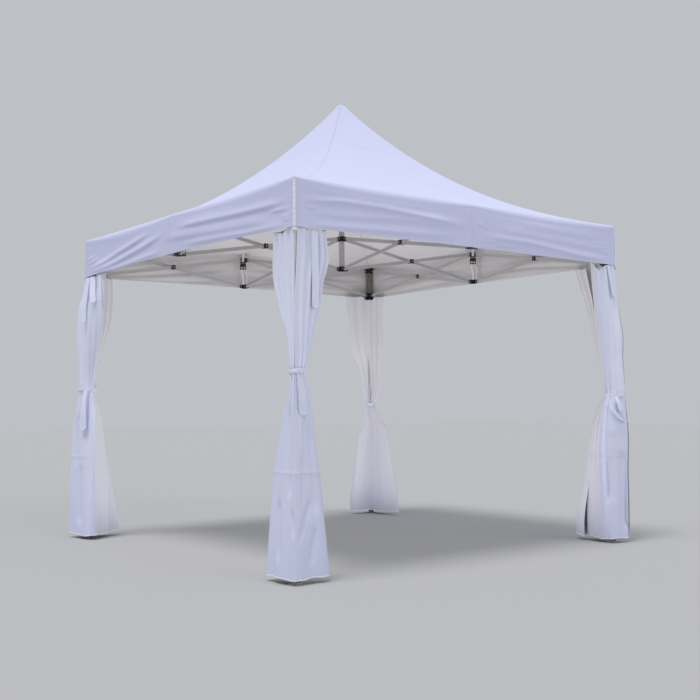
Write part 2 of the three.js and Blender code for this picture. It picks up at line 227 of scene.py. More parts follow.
def two_tones(tree, factor, dark, light):
    """A colour between dark and light, by factor."""
    mix = node(tree, "ShaderNodeMix", data_type="RGBA")
    mix.inputs["A"].default_value = (*dark, 1)
    mix.inputs["B"].default_value = (*light, 1)
    tree.links.new(factor, mix.inputs["Factor"])
    return [s for s in mix.outputs if s.type == "RGBA"][0]


def raised(tree, height, distance, strength, below=None):
    """A bump that stands out by distance, in metres, laid over the bump given as below."""
    bump = node(tree, "ShaderNodeBump", in_Distance=distance, in_Strength=strength)
    tree.links.new(height, bump.inputs["Height"])
    if below is not None:
        tree.links.new(below, bump.inputs["Normal"])
    return bump.outputs["Normal"]


def math_node(tree, operation, first, second):
    """first OPERATION second, where each is an output or a number."""
    made = node(tree, "ShaderNodeMath", operation=operation)
    for socket, value in zip(made.inputs, (first, second)):
        if isinstance(value, bpy.types.NodeSocket):
            tree.links.new(value, socket)
        else:
            socket.default_value = value
    return made.outputs["Value"]


print("the finishes below are built with finish, node, two_tones, raised and math_node")

# %% [markdown]
# ### Cloth
# The roof is a coated polyester: a white with a lavender cast, rather even, slightly crumpled from its
# bag. The curtains are the same cloth in a lighter weight. The inner face of both is painted creamier and
# is duller; the cream is painted warm light that comes through and under the cloth. The curtains are also
# painted darker towards the ground and lighter higher up: painted shade and painted light by height.

# %% Tone of the cloth
CLOUD_SCALE = 2.2
# The curtains' cloth is painted darker towards the ground and lighter higher up, which is painted shade and
# painted light by height, mixed with its random clouds of tone.
CLOUD_SHARE = 0.4             # how much of a dusty cloth's tone comes from its clouds
SHADE_SHARE = 0.7              # and how much from the height


def cloth_tone(tree, flat, dark, light, shaded):
    """Clouds of tone, and a painted shade by height: the last argument is the height over which it goes from dark
    at the ground to light.
    """
    clouds = node(tree, "ShaderNodeTexNoise", in_Scale=CLOUD_SCALE, in_Detail=3.0)
    tree.links.new(flat, clouds.inputs["Vector"])
    shade = clouds.outputs["Fac"]
    # Painted shade by height: the cloth is darker towards the ground.
    if shaded:
        along = node(tree, "ShaderNodeSeparateXYZ")
        tree.links.new(flat, along.inputs["Vector"])
        rise = node(tree, "ShaderNodeMapRange", in_From_Max=shaded)
        tree.links.new(along.outputs["Y"], rise.inputs["Value"])
        cloudy = math_node(tree, "MULTIPLY", shade, CLOUD_SHARE)
        ground_shade = math_node(tree, "MULTIPLY", rise.outputs["Result"], SHADE_SHARE)
        shade = math_node(tree, "ADD", cloudy, ground_shade)
    return two_tones(tree, shade, dark, light)


print(f"a dusty cloth's tone: {CLOUD_SHARE:.0%} from clouds and {SHADE_SHARE:.0%} from its height")

# %% Stitched seams
STITCH = 0.005                # length of a stitch and its gap
SEWN_SHARE = 0.72             # the stitch's share of that length
SEAM_HALF = 0.0022            # half the width of a stitched line
GAP_TONE = 0.5                # how strongly the line shows between two stitches
THREAD_TONE = 0.6             # and how much more on a stitch


def stitches(tree, flat):
    """1 and a little more on a stitch, less in the gaps between them, and 0 away from the seams."""
    along = node(tree, "ShaderNodeSeparateXYZ")
    tree.links.new(flat, along.inputs["Vector"])
    distance = node(tree, "ShaderNodeAttribute", attribute_name="seam").outputs["Fac"]
    both = math_node(tree, "ADD", along.outputs["X"], along.outputs["Y"])
    dash = math_node(tree, "FRACT", math_node(tree, "DIVIDE", both, STITCH), 0.0)
    sewn = math_node(tree, "LESS_THAN", dash, SEWN_SHARE)
    near = math_node(tree, "LESS_THAN", distance, SEAM_HALF)
    strength = math_node(tree, "ADD", math_node(tree, "MULTIPLY", sewn, THREAD_TONE), GAP_TONE)
    return math_node(tree, "MULTIPLY", near, strength)


print(f"{1 / STITCH:.0f} stitches to the metre")

# %% Weave
THREAD = 0.0011               # distance between threads
WAVE_LENGTH = 0.314           # a wave texture's wave at scale 1


def threads(tree, flat):
    """Threads in two directions."""
    both = []
    for direction in ("X", "Y"):
        wave = node(tree, "ShaderNodeTexWave", bands_direction=direction, in_Scale=WAVE_LENGTH / THREAD)
        tree.links.new(flat, wave.inputs["Vector"])
        both.append(wave.outputs["Fac"])
    return math_node(tree, "MULTIPLY", *both)


print(f"{0.01 / THREAD:.0f} threads to the centimetre")

# %% Cloth
CRUMPLE_SCALE = 16.0
SEAM_STANDS = 0.0006
THREAD_STANDS = 0.0001


def cloth(name, light, dark, seam_tone, roughness, crumple, shaded=0.0):
    """Woven polyester: two directions of thread, soft crumples, clouds of tone, stitched seams, and painted shade
    by height when the last argument is above 0.
    """
    material, tree, shader = finish(name, roughness, Sheen_Weight=0.03, Sheen_Roughness=0.5,
                                    Specular_IOR_Level=0.05)
    flat = node(tree, "ShaderNodeUVMap", uv_map="cut").outputs["UV"]
    line = stitches(tree, flat)
    mix = node(tree, "ShaderNodeMix", data_type="RGBA")
    mix.inputs["B"].default_value = (*seam_tone, 1)
    tree.links.new(line, mix.inputs["Factor"])
    tree.links.new(cloth_tone(tree, flat, dark, light, shaded), mix.inputs["A"])
    tree.links.new([s for s in mix.outputs if s.type == "RGBA"][0], shader.inputs["Base Color"])

    crumples = node(tree, "ShaderNodeTexNoise", in_Scale=CRUMPLE_SCALE, in_Detail=4.0, in_Roughness=0.55)
    tree.links.new(flat, crumples.inputs["Vector"])
    normal = raised(tree, crumples.outputs["Fac"], distance=crumple, strength=0.6)
    normal = raised(tree, line, distance=SEAM_STANDS, strength=0.5, below=normal)
    normal = raised(tree, threads(tree, flat), distance=THREAD_STANDS, strength=0.25, below=normal)
    tree.links.new(normal, shader.inputs["Normal"])
    return material


canopy_outside = cloth("canopy_outside", light=(0.68, 0.70, 0.93), dark=(0.64, 0.66, 0.89),
                       seam_tone=(0.60, 0.62, 0.81), roughness=0.62, crumple=0.004)
# The inner faces are painted creamier than the outer ones: painted warm light that comes through and under the
# cloth.
canopy_inside = cloth("canopy_inside", light=(0.74, 0.725, 0.735), dark=(0.69, 0.675, 0.685),
                      seam_tone=(0.52, 0.50, 0.51), roughness=0.7, crumple=0.004)
# The curtains get painted shade by height over 1.5 m: darker towards the ground, and on the inner face cream
# higher up, which is painted warm light.
curtain_outside = cloth("curtain_outside", light=(0.82, 0.845, 1.0), dark=(0.64, 0.665, 0.88),
                        seam_tone=(0.69, 0.71, 0.88), roughness=0.7, crumple=0.003, shaded=1.5)
curtain_inside = cloth("curtain_inside", light=(0.80, 0.79, 0.825), dark=(0.59, 0.60, 0.73),
                       seam_tone=(0.70, 0.68, 0.67), roughness=0.75, crumple=0.003, shaded=1.5)
# A brighter white: the real white tape of the corner bindings, and a painted highlight on the curtains' hems and
# cut edges and on the tongues' cut edges.
curtain_highlight_and_tape = cloth("curtain_highlight_and_tape", light=(0.90, 0.91, 0.98), dark=(0.86, 0.87, 0.95),
                     seam_tone=(0.74, 0.76, 0.86), roughness=0.7, crumple=0.002)
print("cloth:", [m.name for m in bpy.data.materials if m.name.startswith(("canopy", "curtain"))])

# %% [markdown]
# ### Steel and plastic
# The bars and legs are rectangular steel tube with a light grey satin powder coat: a faint orange-peel
# bump and slight changes of gloss. The upper legs are painted dark brown, a painted shade for the shade
# inside the curtains. The fittings are moulded black nylon with a fine grain. A coat that is only one
# flat colour would look like plastic sheet, so each has its own small noise.

# %% Steel and plastic
COAT_CLOUD_SCALE = 7.0
GLOSS_CHANGE = 0.08


def coated(name, dark, light, roughness, grain_scale, grain_height):
    """A moulded or powder coated surface, with clouds of tone and gloss and a fine grain."""
    material, tree, shader = finish(name, roughness)
    place = node(tree, "ShaderNodeTexCoord").outputs["Object"]
    clouds = node(tree, "ShaderNodeTexNoise", in_Scale=COAT_CLOUD_SCALE, in_Detail=4.0)
    tree.links.new(place, clouds.inputs["Vector"])
    tree.links.new(two_tones(tree, clouds.outputs["Fac"], dark, light), shader.inputs["Base Color"])
    gloss = node(tree, "ShaderNodeMapRange",
                 in_To_Min=roughness - GLOSS_CHANGE, in_To_Max=roughness + GLOSS_CHANGE)
    tree.links.new(clouds.outputs["Fac"], gloss.inputs["Value"])
    tree.links.new(gloss.outputs["Result"], shader.inputs["Roughness"])
    grain = node(tree, "ShaderNodeTexNoise", in_Scale=grain_scale, in_Detail=2.0)
    tree.links.new(place, grain.inputs["Vector"])
    normal = raised(tree, grain.outputs["Fac"], distance=grain_height, strength=0.4)
    tree.links.new(normal, shader.inputs["Normal"])
    return material


bar_paint = coated("bar_paint", (0.44, 0.43, 0.435), (0.51, 0.50, 0.505), 0.42, 700, 0.0001)
# The upper legs are painted dark brown: painted shade for the shade inside the curtains, over what is the bars'
# light grey coat.
shaded_leg_paint = coated("shaded_leg_paint", (0.15, 0.13, 0.11), (0.21, 0.185, 0.155), 0.36, 700, 0.0001)
foot_tube_paint = coated("foot_tube_paint", (0.36, 0.355, 0.36), (0.43, 0.425, 0.43), 0.42, 700, 0.0001)
foot_zinc = coated("foot_zinc", (0.52, 0.52, 0.52), (0.62, 0.62, 0.61), 0.38, 400, 0.0001)
black_nylon = coated("black_nylon", (0.010, 0.010, 0.011), (0.018, 0.018, 0.020), 0.48, 1100, 0.0001)
rivet_steel = coated("rivet_steel", (0.42, 0.42, 0.42), (0.52, 0.52, 0.51), 0.32, 500, 0.00005)
rivet_steel.node_tree.nodes["Principled BSDF"].inputs["Metallic"].default_value = 0.9
white_plastic = coated("white_plastic", (0.74, 0.74, 0.72), (0.80, 0.80, 0.78), 0.4, 900, 0.00005)
print("the last hard finish:", white_plastic.name)

# %% [markdown]
# ### The frame's own pieces
# The bars, legs, hubs and brackets come with their final shape, and only want a finish and broken edges:
# no moulded or bent edge is really sharp, and the thin line of light along it tells the eye so. A bevel
# modifier does that without touching the solid's own mesh.

# %% Finish the frame's own nodes
EDGE_ROUND = 0.0012
HARD_FINISH = {
    "leg_upper": shaded_leg_paint,
    "leg_lower": foot_tube_paint,
    "mast": bar_paint,
    "top_hub": black_nylon,
    "lower_hub": black_nylon,
    "upper_bracket": black_nylon,
    "lower_bracket": black_nylon,
    "corner_bracket": black_nylon,
    "slider": black_nylon,
}


def dress(name, material):
    """Gives a node of the frame its finish and breaks its sharp edges."""
    solid = frame["nodes"][name]
    solid.data.materials.clear()
    solid.data.materials.append(material)
    edges = solid.modifiers.new("broken_edges", "BEVEL")
    edges.width = EDGE_ROUND
    edges.segments = 2
    edges.limit_method = "ANGLE"


for name in frame["nodes"]:
    if "_bar_to_" in name:
        dress(name, bar_paint)
    for start, material in HARD_FINISH.items():
        if name.startswith(start):
            dress(name, material)
print("dressed", sum(1 for n in frame["nodes"].values() if n.modifiers), "nodes")

# %% [markdown]
# ## Small hard pieces
# The frame brings plain blocks and pins; what a hand would touch is added here. A scissor pair is held by
# a pin through two square nylon blocks, and each fork of a bracket has a domed rivet on both cheeks. Such
# a piece is built from rounded boxes and turned shapes in one mesh, in its own place, and then rides on
# the body that carries it. Boxes with rounded edges catch the light as moulded parts do.

# %% Helpers for hard pieces
ROUND_SEGMENTS = 2
TURNED_SIDES = 20
SHARP_ANGLE = math.radians(38)
NO_TURN = Matrix()


def quarter_turned(points, k):
    """Points of the front side, or the front right corner, turned k quarter turns about the middle."""
    turned = np.array(points, float)
    for _ in range(k % 4):
        turned = np.stack([-turned[..., 1], turned[..., 0], turned[..., 2]], axis=-1)
    return turned


def add_block(work, low, high, rounding, place=NO_TURN, finish_index=0):
    """A box with rounded edges, between two corners in the frame given by place."""
    before = set(work.faces)
    low, high = Vector(low), Vector(high)
    points = bmesh.ops.create_cube(work, size=1)["verts"]
    for point in points:
        point.co = place @ Vector([low[i] + (point.co[i] + 0.5) * (high[i] - low[i]) for i in range(3)])
    edges = list(dict.fromkeys(edge for point in points for edge in point.link_edges))
    bmesh.ops.bevel(work, geom=edges, offset=rounding, segments=ROUND_SEGMENTS, profile=0.5,
                    affect="EDGES")
    for face in set(work.faces) - before:
        face.material_index = finish_index


def add_turned(work, foot, axis, profile, finish_index=0, sides=TURNED_SIDES):
    """A turned shape; profile gives (radius, distance along the axis) and starts and ends at radius 0."""
    turn = Vector(axis).to_track_quat("Z", "Y").to_matrix()
    rings = []
    for radius, along in profile:
        count = sides if radius else 1
        ring = []
        for i in range(count):
            a = 2 * math.pi * i / sides
            place = Vector((radius * math.cos(a), radius * math.sin(a), along))
            ring.append(work.verts.new(Vector(foot) + turn @ place))
        rings.append(ring)
    for lower, upper in zip(rings, rings[1:]):
        for i in range(sides):
            j = (i + 1) % sides
            around = [lower[i % len(lower)], lower[j % len(lower)]]
            around += [upper[j % len(upper)], upper[i % len(upper)]]
            face = work.faces.new(list(dict.fromkeys(around)))
            face.material_index = finish_index


def hard_piece(name, work, finishes, body):
    """Makes the piece of a mesh under work, and lets it ride on a body."""
    mesh = bpy.data.meshes.new(name)
    work.to_mesh(mesh)
    work.free()
    for material in finishes:
        mesh.materials.append(material)
    mesh.shade_smooth()
    mesh.set_sharp_from_angle(angle=SHARP_ANGLE)
    piece = bpy.data.objects.new(name, mesh)
    bpy.context.scene.collection.objects.link(piece)
    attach(piece, body)


print("the front right corner turned once:", quarter_turned([1, -1, 0], 1))

# %% [markdown]
# ### Crossings
# Where two bars cross, the real tent has a nylon block on either face and a steel pin through both. The
# frame has the plain blocks; a rounded one with a raised ring and a rivet's head is laid over each.

# %% Crossing blocks
BLOCK_HALF = 0.018
BLOCK_DEEP = 0.0069
BLOCK_PROUD = 0.0010          # how far it stands over the plain block of the frame
BLOCK_ROUND = 0.0022
BOSS_FLOOR = 0.0006           # the ring's floor, which the rivet's head stands on
RIVET = [(0, 0), (0.0062, 0), (0.0062, 0.0010), (0.0054, 0.0021), (0.0034, 0.0029), (0, 0.0032)]
BOSS = [(0, 0), (0.0125, 0), (0.0115, 0.0014), (0.0082, 0.0014), (0.0078, BOSS_FLOOR), (0, BOSS_FLOOR)]


def crossing_blocks(bar):
    """The two blocks that hold a crossing, with a raised ring and a rivet on each."""
    low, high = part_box(bar)
    thin = 0 if high.x - low.x < high.y - low.y else 1
    middle = (low + high) / 2
    work = bmesh.new()
    for outward, edge in ((-1, low[thin]), (1, high[thin])):
        faces = sorted((edge - outward * BLOCK_DEEP, edge + outward * BLOCK_PROUD))
        block_low = Vector([middle[i] - BLOCK_HALF for i in range(3)])
        block_high = Vector([middle[i] + BLOCK_HALF for i in range(3)])
        block_low[thin], block_high[thin] = faces
        add_block(work, block_low, block_high, BLOCK_ROUND)
        axis = Vector((0, 0, 0))
        axis[thin] = outward
        foot = middle.copy()
        foot[thin] = edge + outward * BLOCK_PROUD
        add_turned(work, foot, axis, BOSS)
        add_turned(work, foot + axis * BOSS_FLOOR, axis, RIVET, finish_index=1)
    hard_piece(f"crossing_{bar}", work, [black_nylon, rivet_steel], bar)


crossed = [name for name in frame["nodes"] if "_falling_bar_to_" in name]
for bar in crossed:
    crossing_blocks(bar)
print("crossings:", len(crossed))

# %% [markdown]
# ### Rivets
# A bar's end turns between the two cheeks of a fork, on a rivet whose heads show on both. The frame's
# joints say where the pivots are on one side, and turning them about the middle gives the rest. All
# rivets of one bracket or hub are one piece, as they ride together.

# %% Where the pivots are
PIVOT_PLACES = {
    "top_hub": joints["frame_fold"]["pos_m"],
    "upper_inward": joints["upper_bracket_turn_front"]["pos_m"],
    "lower_inward": joints["lower_bracket_turn_front"]["pos_m"],
    "upper_side": joints["front_falling_to_front_right"]["pos_m"],
    "corner": joints["leg_turn_front_right"]["pos_m"],
    "slider": joints["slider_turn_front_right"]["pos_m"],
}
side_rising = [p.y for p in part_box("front_rising_bar_to_front_right")]
hub_rising = [p.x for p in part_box("hub_rising_bar_to_front")]
side_falling = [-2 * LEG_AT - y for y in side_rising[::-1]]
hub_falling = [-x for x in hub_rising[::-1]]
print(len(PIVOT_PLACES), "pivots, bars between", [round(y, 4) for y in side_rising + side_falling])

# %% Rivets of the forks
FORK_WALL = 0.0043            # a fork's cheek and its gap to the bar
RIVET_SIDES = 12


def fork_rivets(work, place, thin, plane, k):
    """A rivet on each cheek of the fork that holds a bar; plane gives the bar's two faces."""
    for outward, edge in ((-1, min(plane)), (1, max(plane))):
        foot = list(place)
        foot[thin] = edge + outward * FORK_WALL
        axis = [0, 0, 0]
        axis[thin] = outward
        add_turned(work, quarter_turned(foot, k), quarter_turned(axis, k), RIVET, sides=RIVET_SIDES)


def mirrored_place(place):
    return [-place[0], place[1], place[2]]


def lowered(place):
    """The place below it on the lower brackets' level."""
    return [place[0], place[1], PIVOT_PLACES["slider"][2]]


rivets = {}
for k, side in enumerate(SIDES):
    ends = [CORNERS[k], CORNERS[k - 1]]
    places = [
        ("top_hub", PIVOT_PLACES["top_hub"], 0, hub_falling),
        ("lower_hub", lowered(PIVOT_PLACES["top_hub"]), 0, hub_rising),
        (f"upper_bracket_{side}", PIVOT_PLACES["upper_inward"], 0, hub_rising),
        (f"lower_bracket_{side}", PIVOT_PLACES["lower_inward"], 0, hub_falling),
    ]
    for corner, turned_over in zip(ends, (list, mirrored_place)):
        upper = turned_over(PIVOT_PLACES["upper_side"])
        outer = turned_over(PIVOT_PLACES["corner"])
        places += [
            (f"upper_bracket_{side}", upper, 1, side_falling),
            (f"lower_bracket_{side}", lowered(upper), 1, side_rising),
            (f"corner_bracket_{corner}", outer, 1, side_rising),
            (f"slider_{corner}", lowered(outer), 1, side_falling),
        ]
    for carrier, place, thin, plane in places:
        work = rivets.setdefault(carrier, bmesh.new())
        fork_rivets(work, place, thin, plane, k)
for carrier, work in rivets.items():
    hard_piece(f"rivets_{carrier}", work, [rivet_steel], body_of[carrier])
print("riveted fittings:", len(rivets))

# %% [markdown]
# ### Feet
# Each lower leg is welded to a square plate with peg holes. Four small gussets stiffen the weld, and a
# zinc coat covers plate and gussets. The tube's end wears a short collar where the gussets meet it.

# %% Gusset and collar
FOOT_TOP = 0.004
TUBE_HALF = 0.016
GUSSET_OUT = 0.020
GUSSET_UP = 0.024
GUSSET_LIP = 0.004            # the height of its outer end, and the width of its top
GUSSET_THICK = 0.003
COLLAR_HEIGHT = 0.009
COLLAR_OUT = 0.0015
COLLAR_IN = 0.0005
COLLAR_ROUND = 0.0005


def add_gusset(work, place):
    """A five-sided plate that stands against one wall of the tube."""
    outer, top = TUBE_HALF + GUSSET_OUT, FOOT_TOP + GUSSET_UP
    outline = [(TUBE_HALF, FOOT_TOP), (outer, FOOT_TOP), (outer, FOOT_TOP + GUSSET_LIP),
               (TUBE_HALF + GUSSET_LIP, top), (TUBE_HALF, top)]
    rings = []
    for y in (-GUSSET_THICK / 2, GUSSET_THICK / 2):
        rings.append([work.verts.new(place @ Vector((x, y, z))) for x, z in outline])
    work.faces.new(rings[0])
    work.faces.new(rings[1][::-1])
    for i in range(len(outline)):
        j = (i + 1) % len(outline)
        work.faces.new([rings[0][j], rings[0][i], rings[1][i], rings[1][j]])


def add_collar(work, place):
    """One side of the collar round the tube's end."""
    side = TUBE_HALF + COLLAR_OUT
    low = (TUBE_HALF - COLLAR_IN, -side, FOOT_TOP)
    high = (side, side, FOOT_TOP + COLLAR_HEIGHT)
    add_block(work, low, high, COLLAR_ROUND, place)


print(f"gussets {GUSSET_OUT * 1000:.0f} by {GUSSET_UP * 1000:.0f} mm")

# %% Feet
PEG_HOLE_AT = 0.028
PEG_SINK = 0.0004
PEG_RING = [(0, 0), (0.0088, 0), (0.0088, 0.0008), (0.0066, 0.0012), (0.0056, 0.0006), (0, 0.0006)]

for k, corner in enumerate(CORNERS):
    work = bmesh.new()
    centre = Vector(quarter_turned([LEG_AT, -LEG_AT, 0], k))
    for quarter in range(4):
        place = Matrix.Translation(centre) @ Matrix.Rotation(quarter * math.pi / 2, 4, "Z")
        add_gusset(work, place)
        add_collar(work, place)
    for x in (-1, 1):
        for y in (-1, 1):
            foot = centre + Vector((x * PEG_HOLE_AT, y * PEG_HOLE_AT, FOOT_TOP))
            add_turned(work, foot - Vector((0, 0, PEG_SINK)), (0, 0, 1), PEG_RING)
    bmesh.ops.recalc_face_normals(work, faces=work.faces)
    hard_piece(f"foot_{corner}", work, [foot_zinc], f"lower_leg_{corner}")
print("feet:", len(CORNERS))

# %% [markdown]
# ### Buckles
# From the roof's middle seam of each side a white strap comes down to a side-release buckle beside the
# upper bracket, and two straps go on from it to the lower bracket, which pulls the roof down taut. Both
# stand in the free corner between the two bars, turned towards the viewer. The buckle is a socket with
# two prongs that spring out at its sides, and a ladder bar at either end for the webbing.

# %% Buckles
BUCKLE_OUT = 0.034            # from the bracket's middle, along the side and inwards
BUCKLE_DROP = -0.026          # the buckle's own zero, above the bracket's pivot line
BUCKLE_ROUND = 0.0013
BUCKLE_SIDE = {"front": -1, "right": -1, "back": 1, "left": 1}
BRACKET_TOP_HEIGHT = PIVOT_PLACES["upper_side"][2]
BRACKET_LOW_HEIGHT = PIVOT_PLACES["slider"][2]
BUCKLE_PARTS = [
    ((-0.023, -0.005, -0.004), (0.023, 0.005, 0.002)),           # the upper ladder: its two bars
    ((-0.020, -0.003, -0.016), (0.020, 0.003, -0.011)),
    ((-0.023, -0.005, -0.018), (-0.018, 0.005, -0.001)),         # and its two sides
    ((0.018, -0.005, -0.018), (0.023, 0.005, -0.001)),
    ((-0.0225, -0.0065, -0.040), (0.0225, 0.0065, -0.017)),      # the socket
    ((-0.026, -0.003, -0.034), (-0.021, 0.003, -0.022)),         # its two prongs
    ((0.021, -0.003, -0.034), (0.026, 0.003, -0.022)),
    ((-0.024, -0.004, -0.064), (-0.019, 0.004, -0.038)),         # the lower ladder's three sides
    ((-0.0025, -0.004, -0.064), (0.0025, 0.004, -0.038)),
    ((0.019, -0.004, -0.064), (0.024, 0.004, -0.038)),
    ((-0.024, -0.004, -0.064), (0.024, 0.004, -0.059)),          # and its bar
]


def buckle_frame(side, k):
    """A buckle's own frame: X across it, Y out of its face, Z up."""
    e = BUCKLE_SIDE[side]
    out = Vector((e, 1, 0)).normalized()
    across = Vector((0, 0, 1)).cross(out)
    centre = Vector((e * BUCKLE_OUT, -LEG_AT + BUCKLE_OUT, BRACKET_TOP_HEIGHT))
    local = Matrix((-across, out, Vector((0, 0, 1)))).transposed().to_4x4()
    return Matrix.Rotation(k * math.pi / 2, 4, "Z") @ Matrix.Translation(centre) @ local


for k, side in enumerate(SIDES):
    work = bmesh.new()
    place = buckle_frame(side, k) @ Matrix.Translation((0, 0, BUCKLE_DROP))
    for low, high in BUCKLE_PARTS:
        add_block(work, low, high, BUCKLE_ROUND, place)
    hard_piece(f"buckle_{side}", work, [black_nylon], f"upper_bracket_{side}")
print("buckles:", len(SIDES))

# %% [markdown]
# ## Cloth as a grid
# Every sheet here is a grid of points worked out by a formula, then given thickness. A cloth simulation
# could hang it too, but the tent's cloth is held taut by its seams and its wrinkles come from a few known
# pulls, so a formula with listed folds comes closer to the photograph and gives the same result each
# time.

# %% Smooth curves
def smooth_step(x):
    """0 below 0 and 1 above 1, and a soft slope between."""
    x = np.clip(x, 0, 1)
    return x * x * (3 - 2 * x)


def smooth_curve(pairs, at):
    """A smooth curve through (place, value) pairs in any order, read at the places given."""
    place, value = np.array(sorted(pairs), float).T
    slopes = np.gradient(value, place)
    i = np.clip(np.searchsorted(place, at) - 1, 0, len(place) - 2)
    width = place[i + 1] - place[i]
    t = np.clip((at - place[i]) / width, 0, 1)
    return (
        (2 * t**3 - 3 * t**2 + 1) * value[i]
        + (t**3 - 2 * t**2 + t) * width * slopes[i]
        + (3 * t**2 - 2 * t**3) * value[i + 1]
        + (t**3 - t**2) * width * slopes[i + 1]
    )


def smooth_path(corners, count):
    """Points spread evenly along a smooth curve through the corners given."""
    corners = np.array(corners, float)
    steps = np.concatenate([[0], np.cumsum(np.linalg.norm(np.diff(corners, axis=0), axis=1))])
    at = np.linspace(0, steps[-1], count)
    curves = [smooth_curve(list(zip(steps, corners[:, i])), at) for i in range(corners.shape[1])]
    return np.stack(curves, axis=-1)


print("a step half way:", smooth_step(0.5), "and a curve:", smooth_curve([(0, 0), (1, 1), (2, 0)], 1.5))

# %% Meshes from grids
NO_SEAM = 0.1                 # a distance from the nearest seam that draws none


def grid_quads(rows, columns):
    """Quads over rows x columns points; seen from outside, rows go up and columns go right."""
    index = np.arange(rows * columns).reshape(rows, columns)
    quads = np.stack([index[:-1, :-1], index[:-1, 1:], index[1:, 1:], index[1:, :-1]], axis=-1)
    return quads.reshape(-1, 4)


def cloth_mesh(name, points, quads, cut, seam):
    """A mesh that keeps its flat coordinates and the distance of its points from the nearest seam."""
    mesh = bpy.data.meshes.new(name)
    mesh.from_pydata(points.tolist(), [], quads.tolist())
    layer = mesh.uv_layers.new(name="cut")
    layer.data.foreach_set("uv", cut[quads.ravel()].astype(np.float32).ravel())
    distance = mesh.attributes.new("seam", "FLOAT", "POINT")
    distance.data.foreach_set("value", seam.astype(np.float32).ravel())
    mesh.shade_smooth()
    return mesh


def grid_mesh(name, points, cut, seam, flip=False):
    """A mesh over one grid of points; flip turns its outer face round."""
    quads = grid_quads(*points.shape[:2])
    if flip:
        quads = quads[:, ::-1]
    return cloth_mesh(name, points.reshape(-1, 3), quads, cut.reshape(-1, 2), seam)


def strips_mesh(name, strips):
    """One mesh of several grids, each given with its flat coordinates."""
    quads = []
    start = 0
    for points, _ in strips:
        quads.append(grid_quads(*points.shape[:2]) + start)
        start += points.shape[0] * points.shape[1]
    points = np.concatenate([points.reshape(-1, 3) for points, _ in strips])
    cuts = np.concatenate([cut.reshape(-1, 2) for _, cut in strips])
    return cloth_mesh(name, points, np.concatenate(quads), cuts, np.full(len(points), NO_SEAM))


def strip(path, across, widths, cup=0.0, columns=5):
    """A strip of cloth or webbing along a path: its grid of points and its flat coordinates.

    across points to the strip's right side, and cup lifts its middle out of its plane.
    """
    path, across = np.array(path, float), np.array(across, float)
    across = np.broadcast_to(across, path.shape)
    across = across / np.linalg.norm(across, axis=1, keepdims=True)
    tangent = np.gradient(path, axis=0)
    tangent /= np.linalg.norm(tangent, axis=1, keepdims=True)
    out = np.cross(across, tangent)
    widths = np.broadcast_to(np.array(widths, float), len(path))
    share = np.linspace(-0.5, 0.5, columns)
    offset = widths[:, None] * share
    points = path[:, None] + offset[..., None] * across[:, None]
    points = points + cup * (0.25 - share[None, :, None] ** 2) * 4 * out[:, None]
    length = np.concatenate([[0], np.cumsum(np.linalg.norm(np.diff(path, axis=0), axis=1))])
    cut = np.stack(np.broadcast_arrays(offset, length[:, None]), axis=-1)
    return points, cut


def round_end(count, end_length, length):
    """The share of its full width that a strip has along it, when its far end is cut round."""
    along = np.linspace(0, length, count)
    into = np.clip((along - (length - end_length)) / end_length, 0, 1)
    return np.sqrt(np.clip(1 - into ** 2, 0.01, 1))


print("quads over 2 by 3 points:", grid_quads(2, 3).tolist())

# %% Thickness and area
CLOTH_THICKNESS = 0.0012


def area_of(points):
    """The area of a grid of points."""
    across = points[:-1, 1:] - points[:-1, :-1]
    up = points[1:, :-1] - points[:-1, :-1]
    return float(np.linalg.norm(np.cross(across, up), axis=-1).sum())


def cloth_piece(name, mesh, outside, inside, thickness=CLOTH_THICKNESS):
    """An object of cloth: the mesh is its outer face, and the inner one lies a thickness behind it.

    The cut edges are marked sharp, so that they don't darken the face beside them.
    """
    work = bmesh.new()
    work.from_mesh(mesh)
    for edge in work.edges:
        if edge.is_boundary:
            edge.smooth = False
    work.to_mesh(mesh)
    work.free()
    piece = bpy.data.objects.new(name, mesh)
    bpy.context.scene.collection.objects.link(piece)
    mesh.materials.append(outside)
    mesh.materials.append(inside)
    solid = piece.modifiers.new("thickness", "SOLIDIFY")
    solid.thickness = thickness
    solid.offset = -1
    solid.material_offset = 1
    solid.use_rim = True
    return piece


print(f"cloth is {CLOTH_THICKNESS * 1000} mm thick")

# %% [markdown]
# ## Roof
# The roof is sewn from four panels that meet at the hips, and a small cap panel above a seam that runs
# round it. The tension gives each panel its swoop: nearly straight at the eave, steep at the mast.
# Towards the eave nothing holds the cloth between the corners and the middle of a side, so there it rolls
# over softly into the valance, and at the corners and the middle it turns sharply. One panel is made and
# turned three times.

# %% Roof shape
ROOF_STRAIGHT_SHARE = 0.35
ROOF_CURVE_POWER = 2.5
RING_SEAM_AT = 0.25            # share of the way from the peak to the eave
ROOF_SAG = 0.010               # how far a panel sags between its hips
TIP_ROUND = 0.011              # the mast's dome rounds the tip, as a share of the half side
TIP_LIFT = 0.012
TIP_REACH = 0.06
SEAM_RIDGE = 0.0018
SEAM_WIDTH = 0.006
ROLL_SHARP = 0.012             # radius of the turn into the valance at a corner
ROLL_SOFT = 0.058              # and between a corner and the middle
ROLL_MIDDLE = 0.026

eave_slope = math.atan(ROOF_RISE * ROOF_STRAIGHT_SHARE / HALF)
ROLL_TURN = math.pi / 2 - eave_slope


def roll_radius(across):
    """Radius of the turn into the valance; across is -1 and 1 at the corners and 0 in the middle."""
    free = np.sin(np.pi * np.clip(np.abs(across), 0, 1)) ** 0.8
    held = np.where(np.abs(across) < 0.5, ROLL_MIDDLE, ROLL_SHARP)
    return held + (ROLL_SOFT - held) * free


def roll_reach(across):
    """How far below the eave the turn ends."""
    return roll_radius(across) * math.tan(ROLL_TURN / 2)


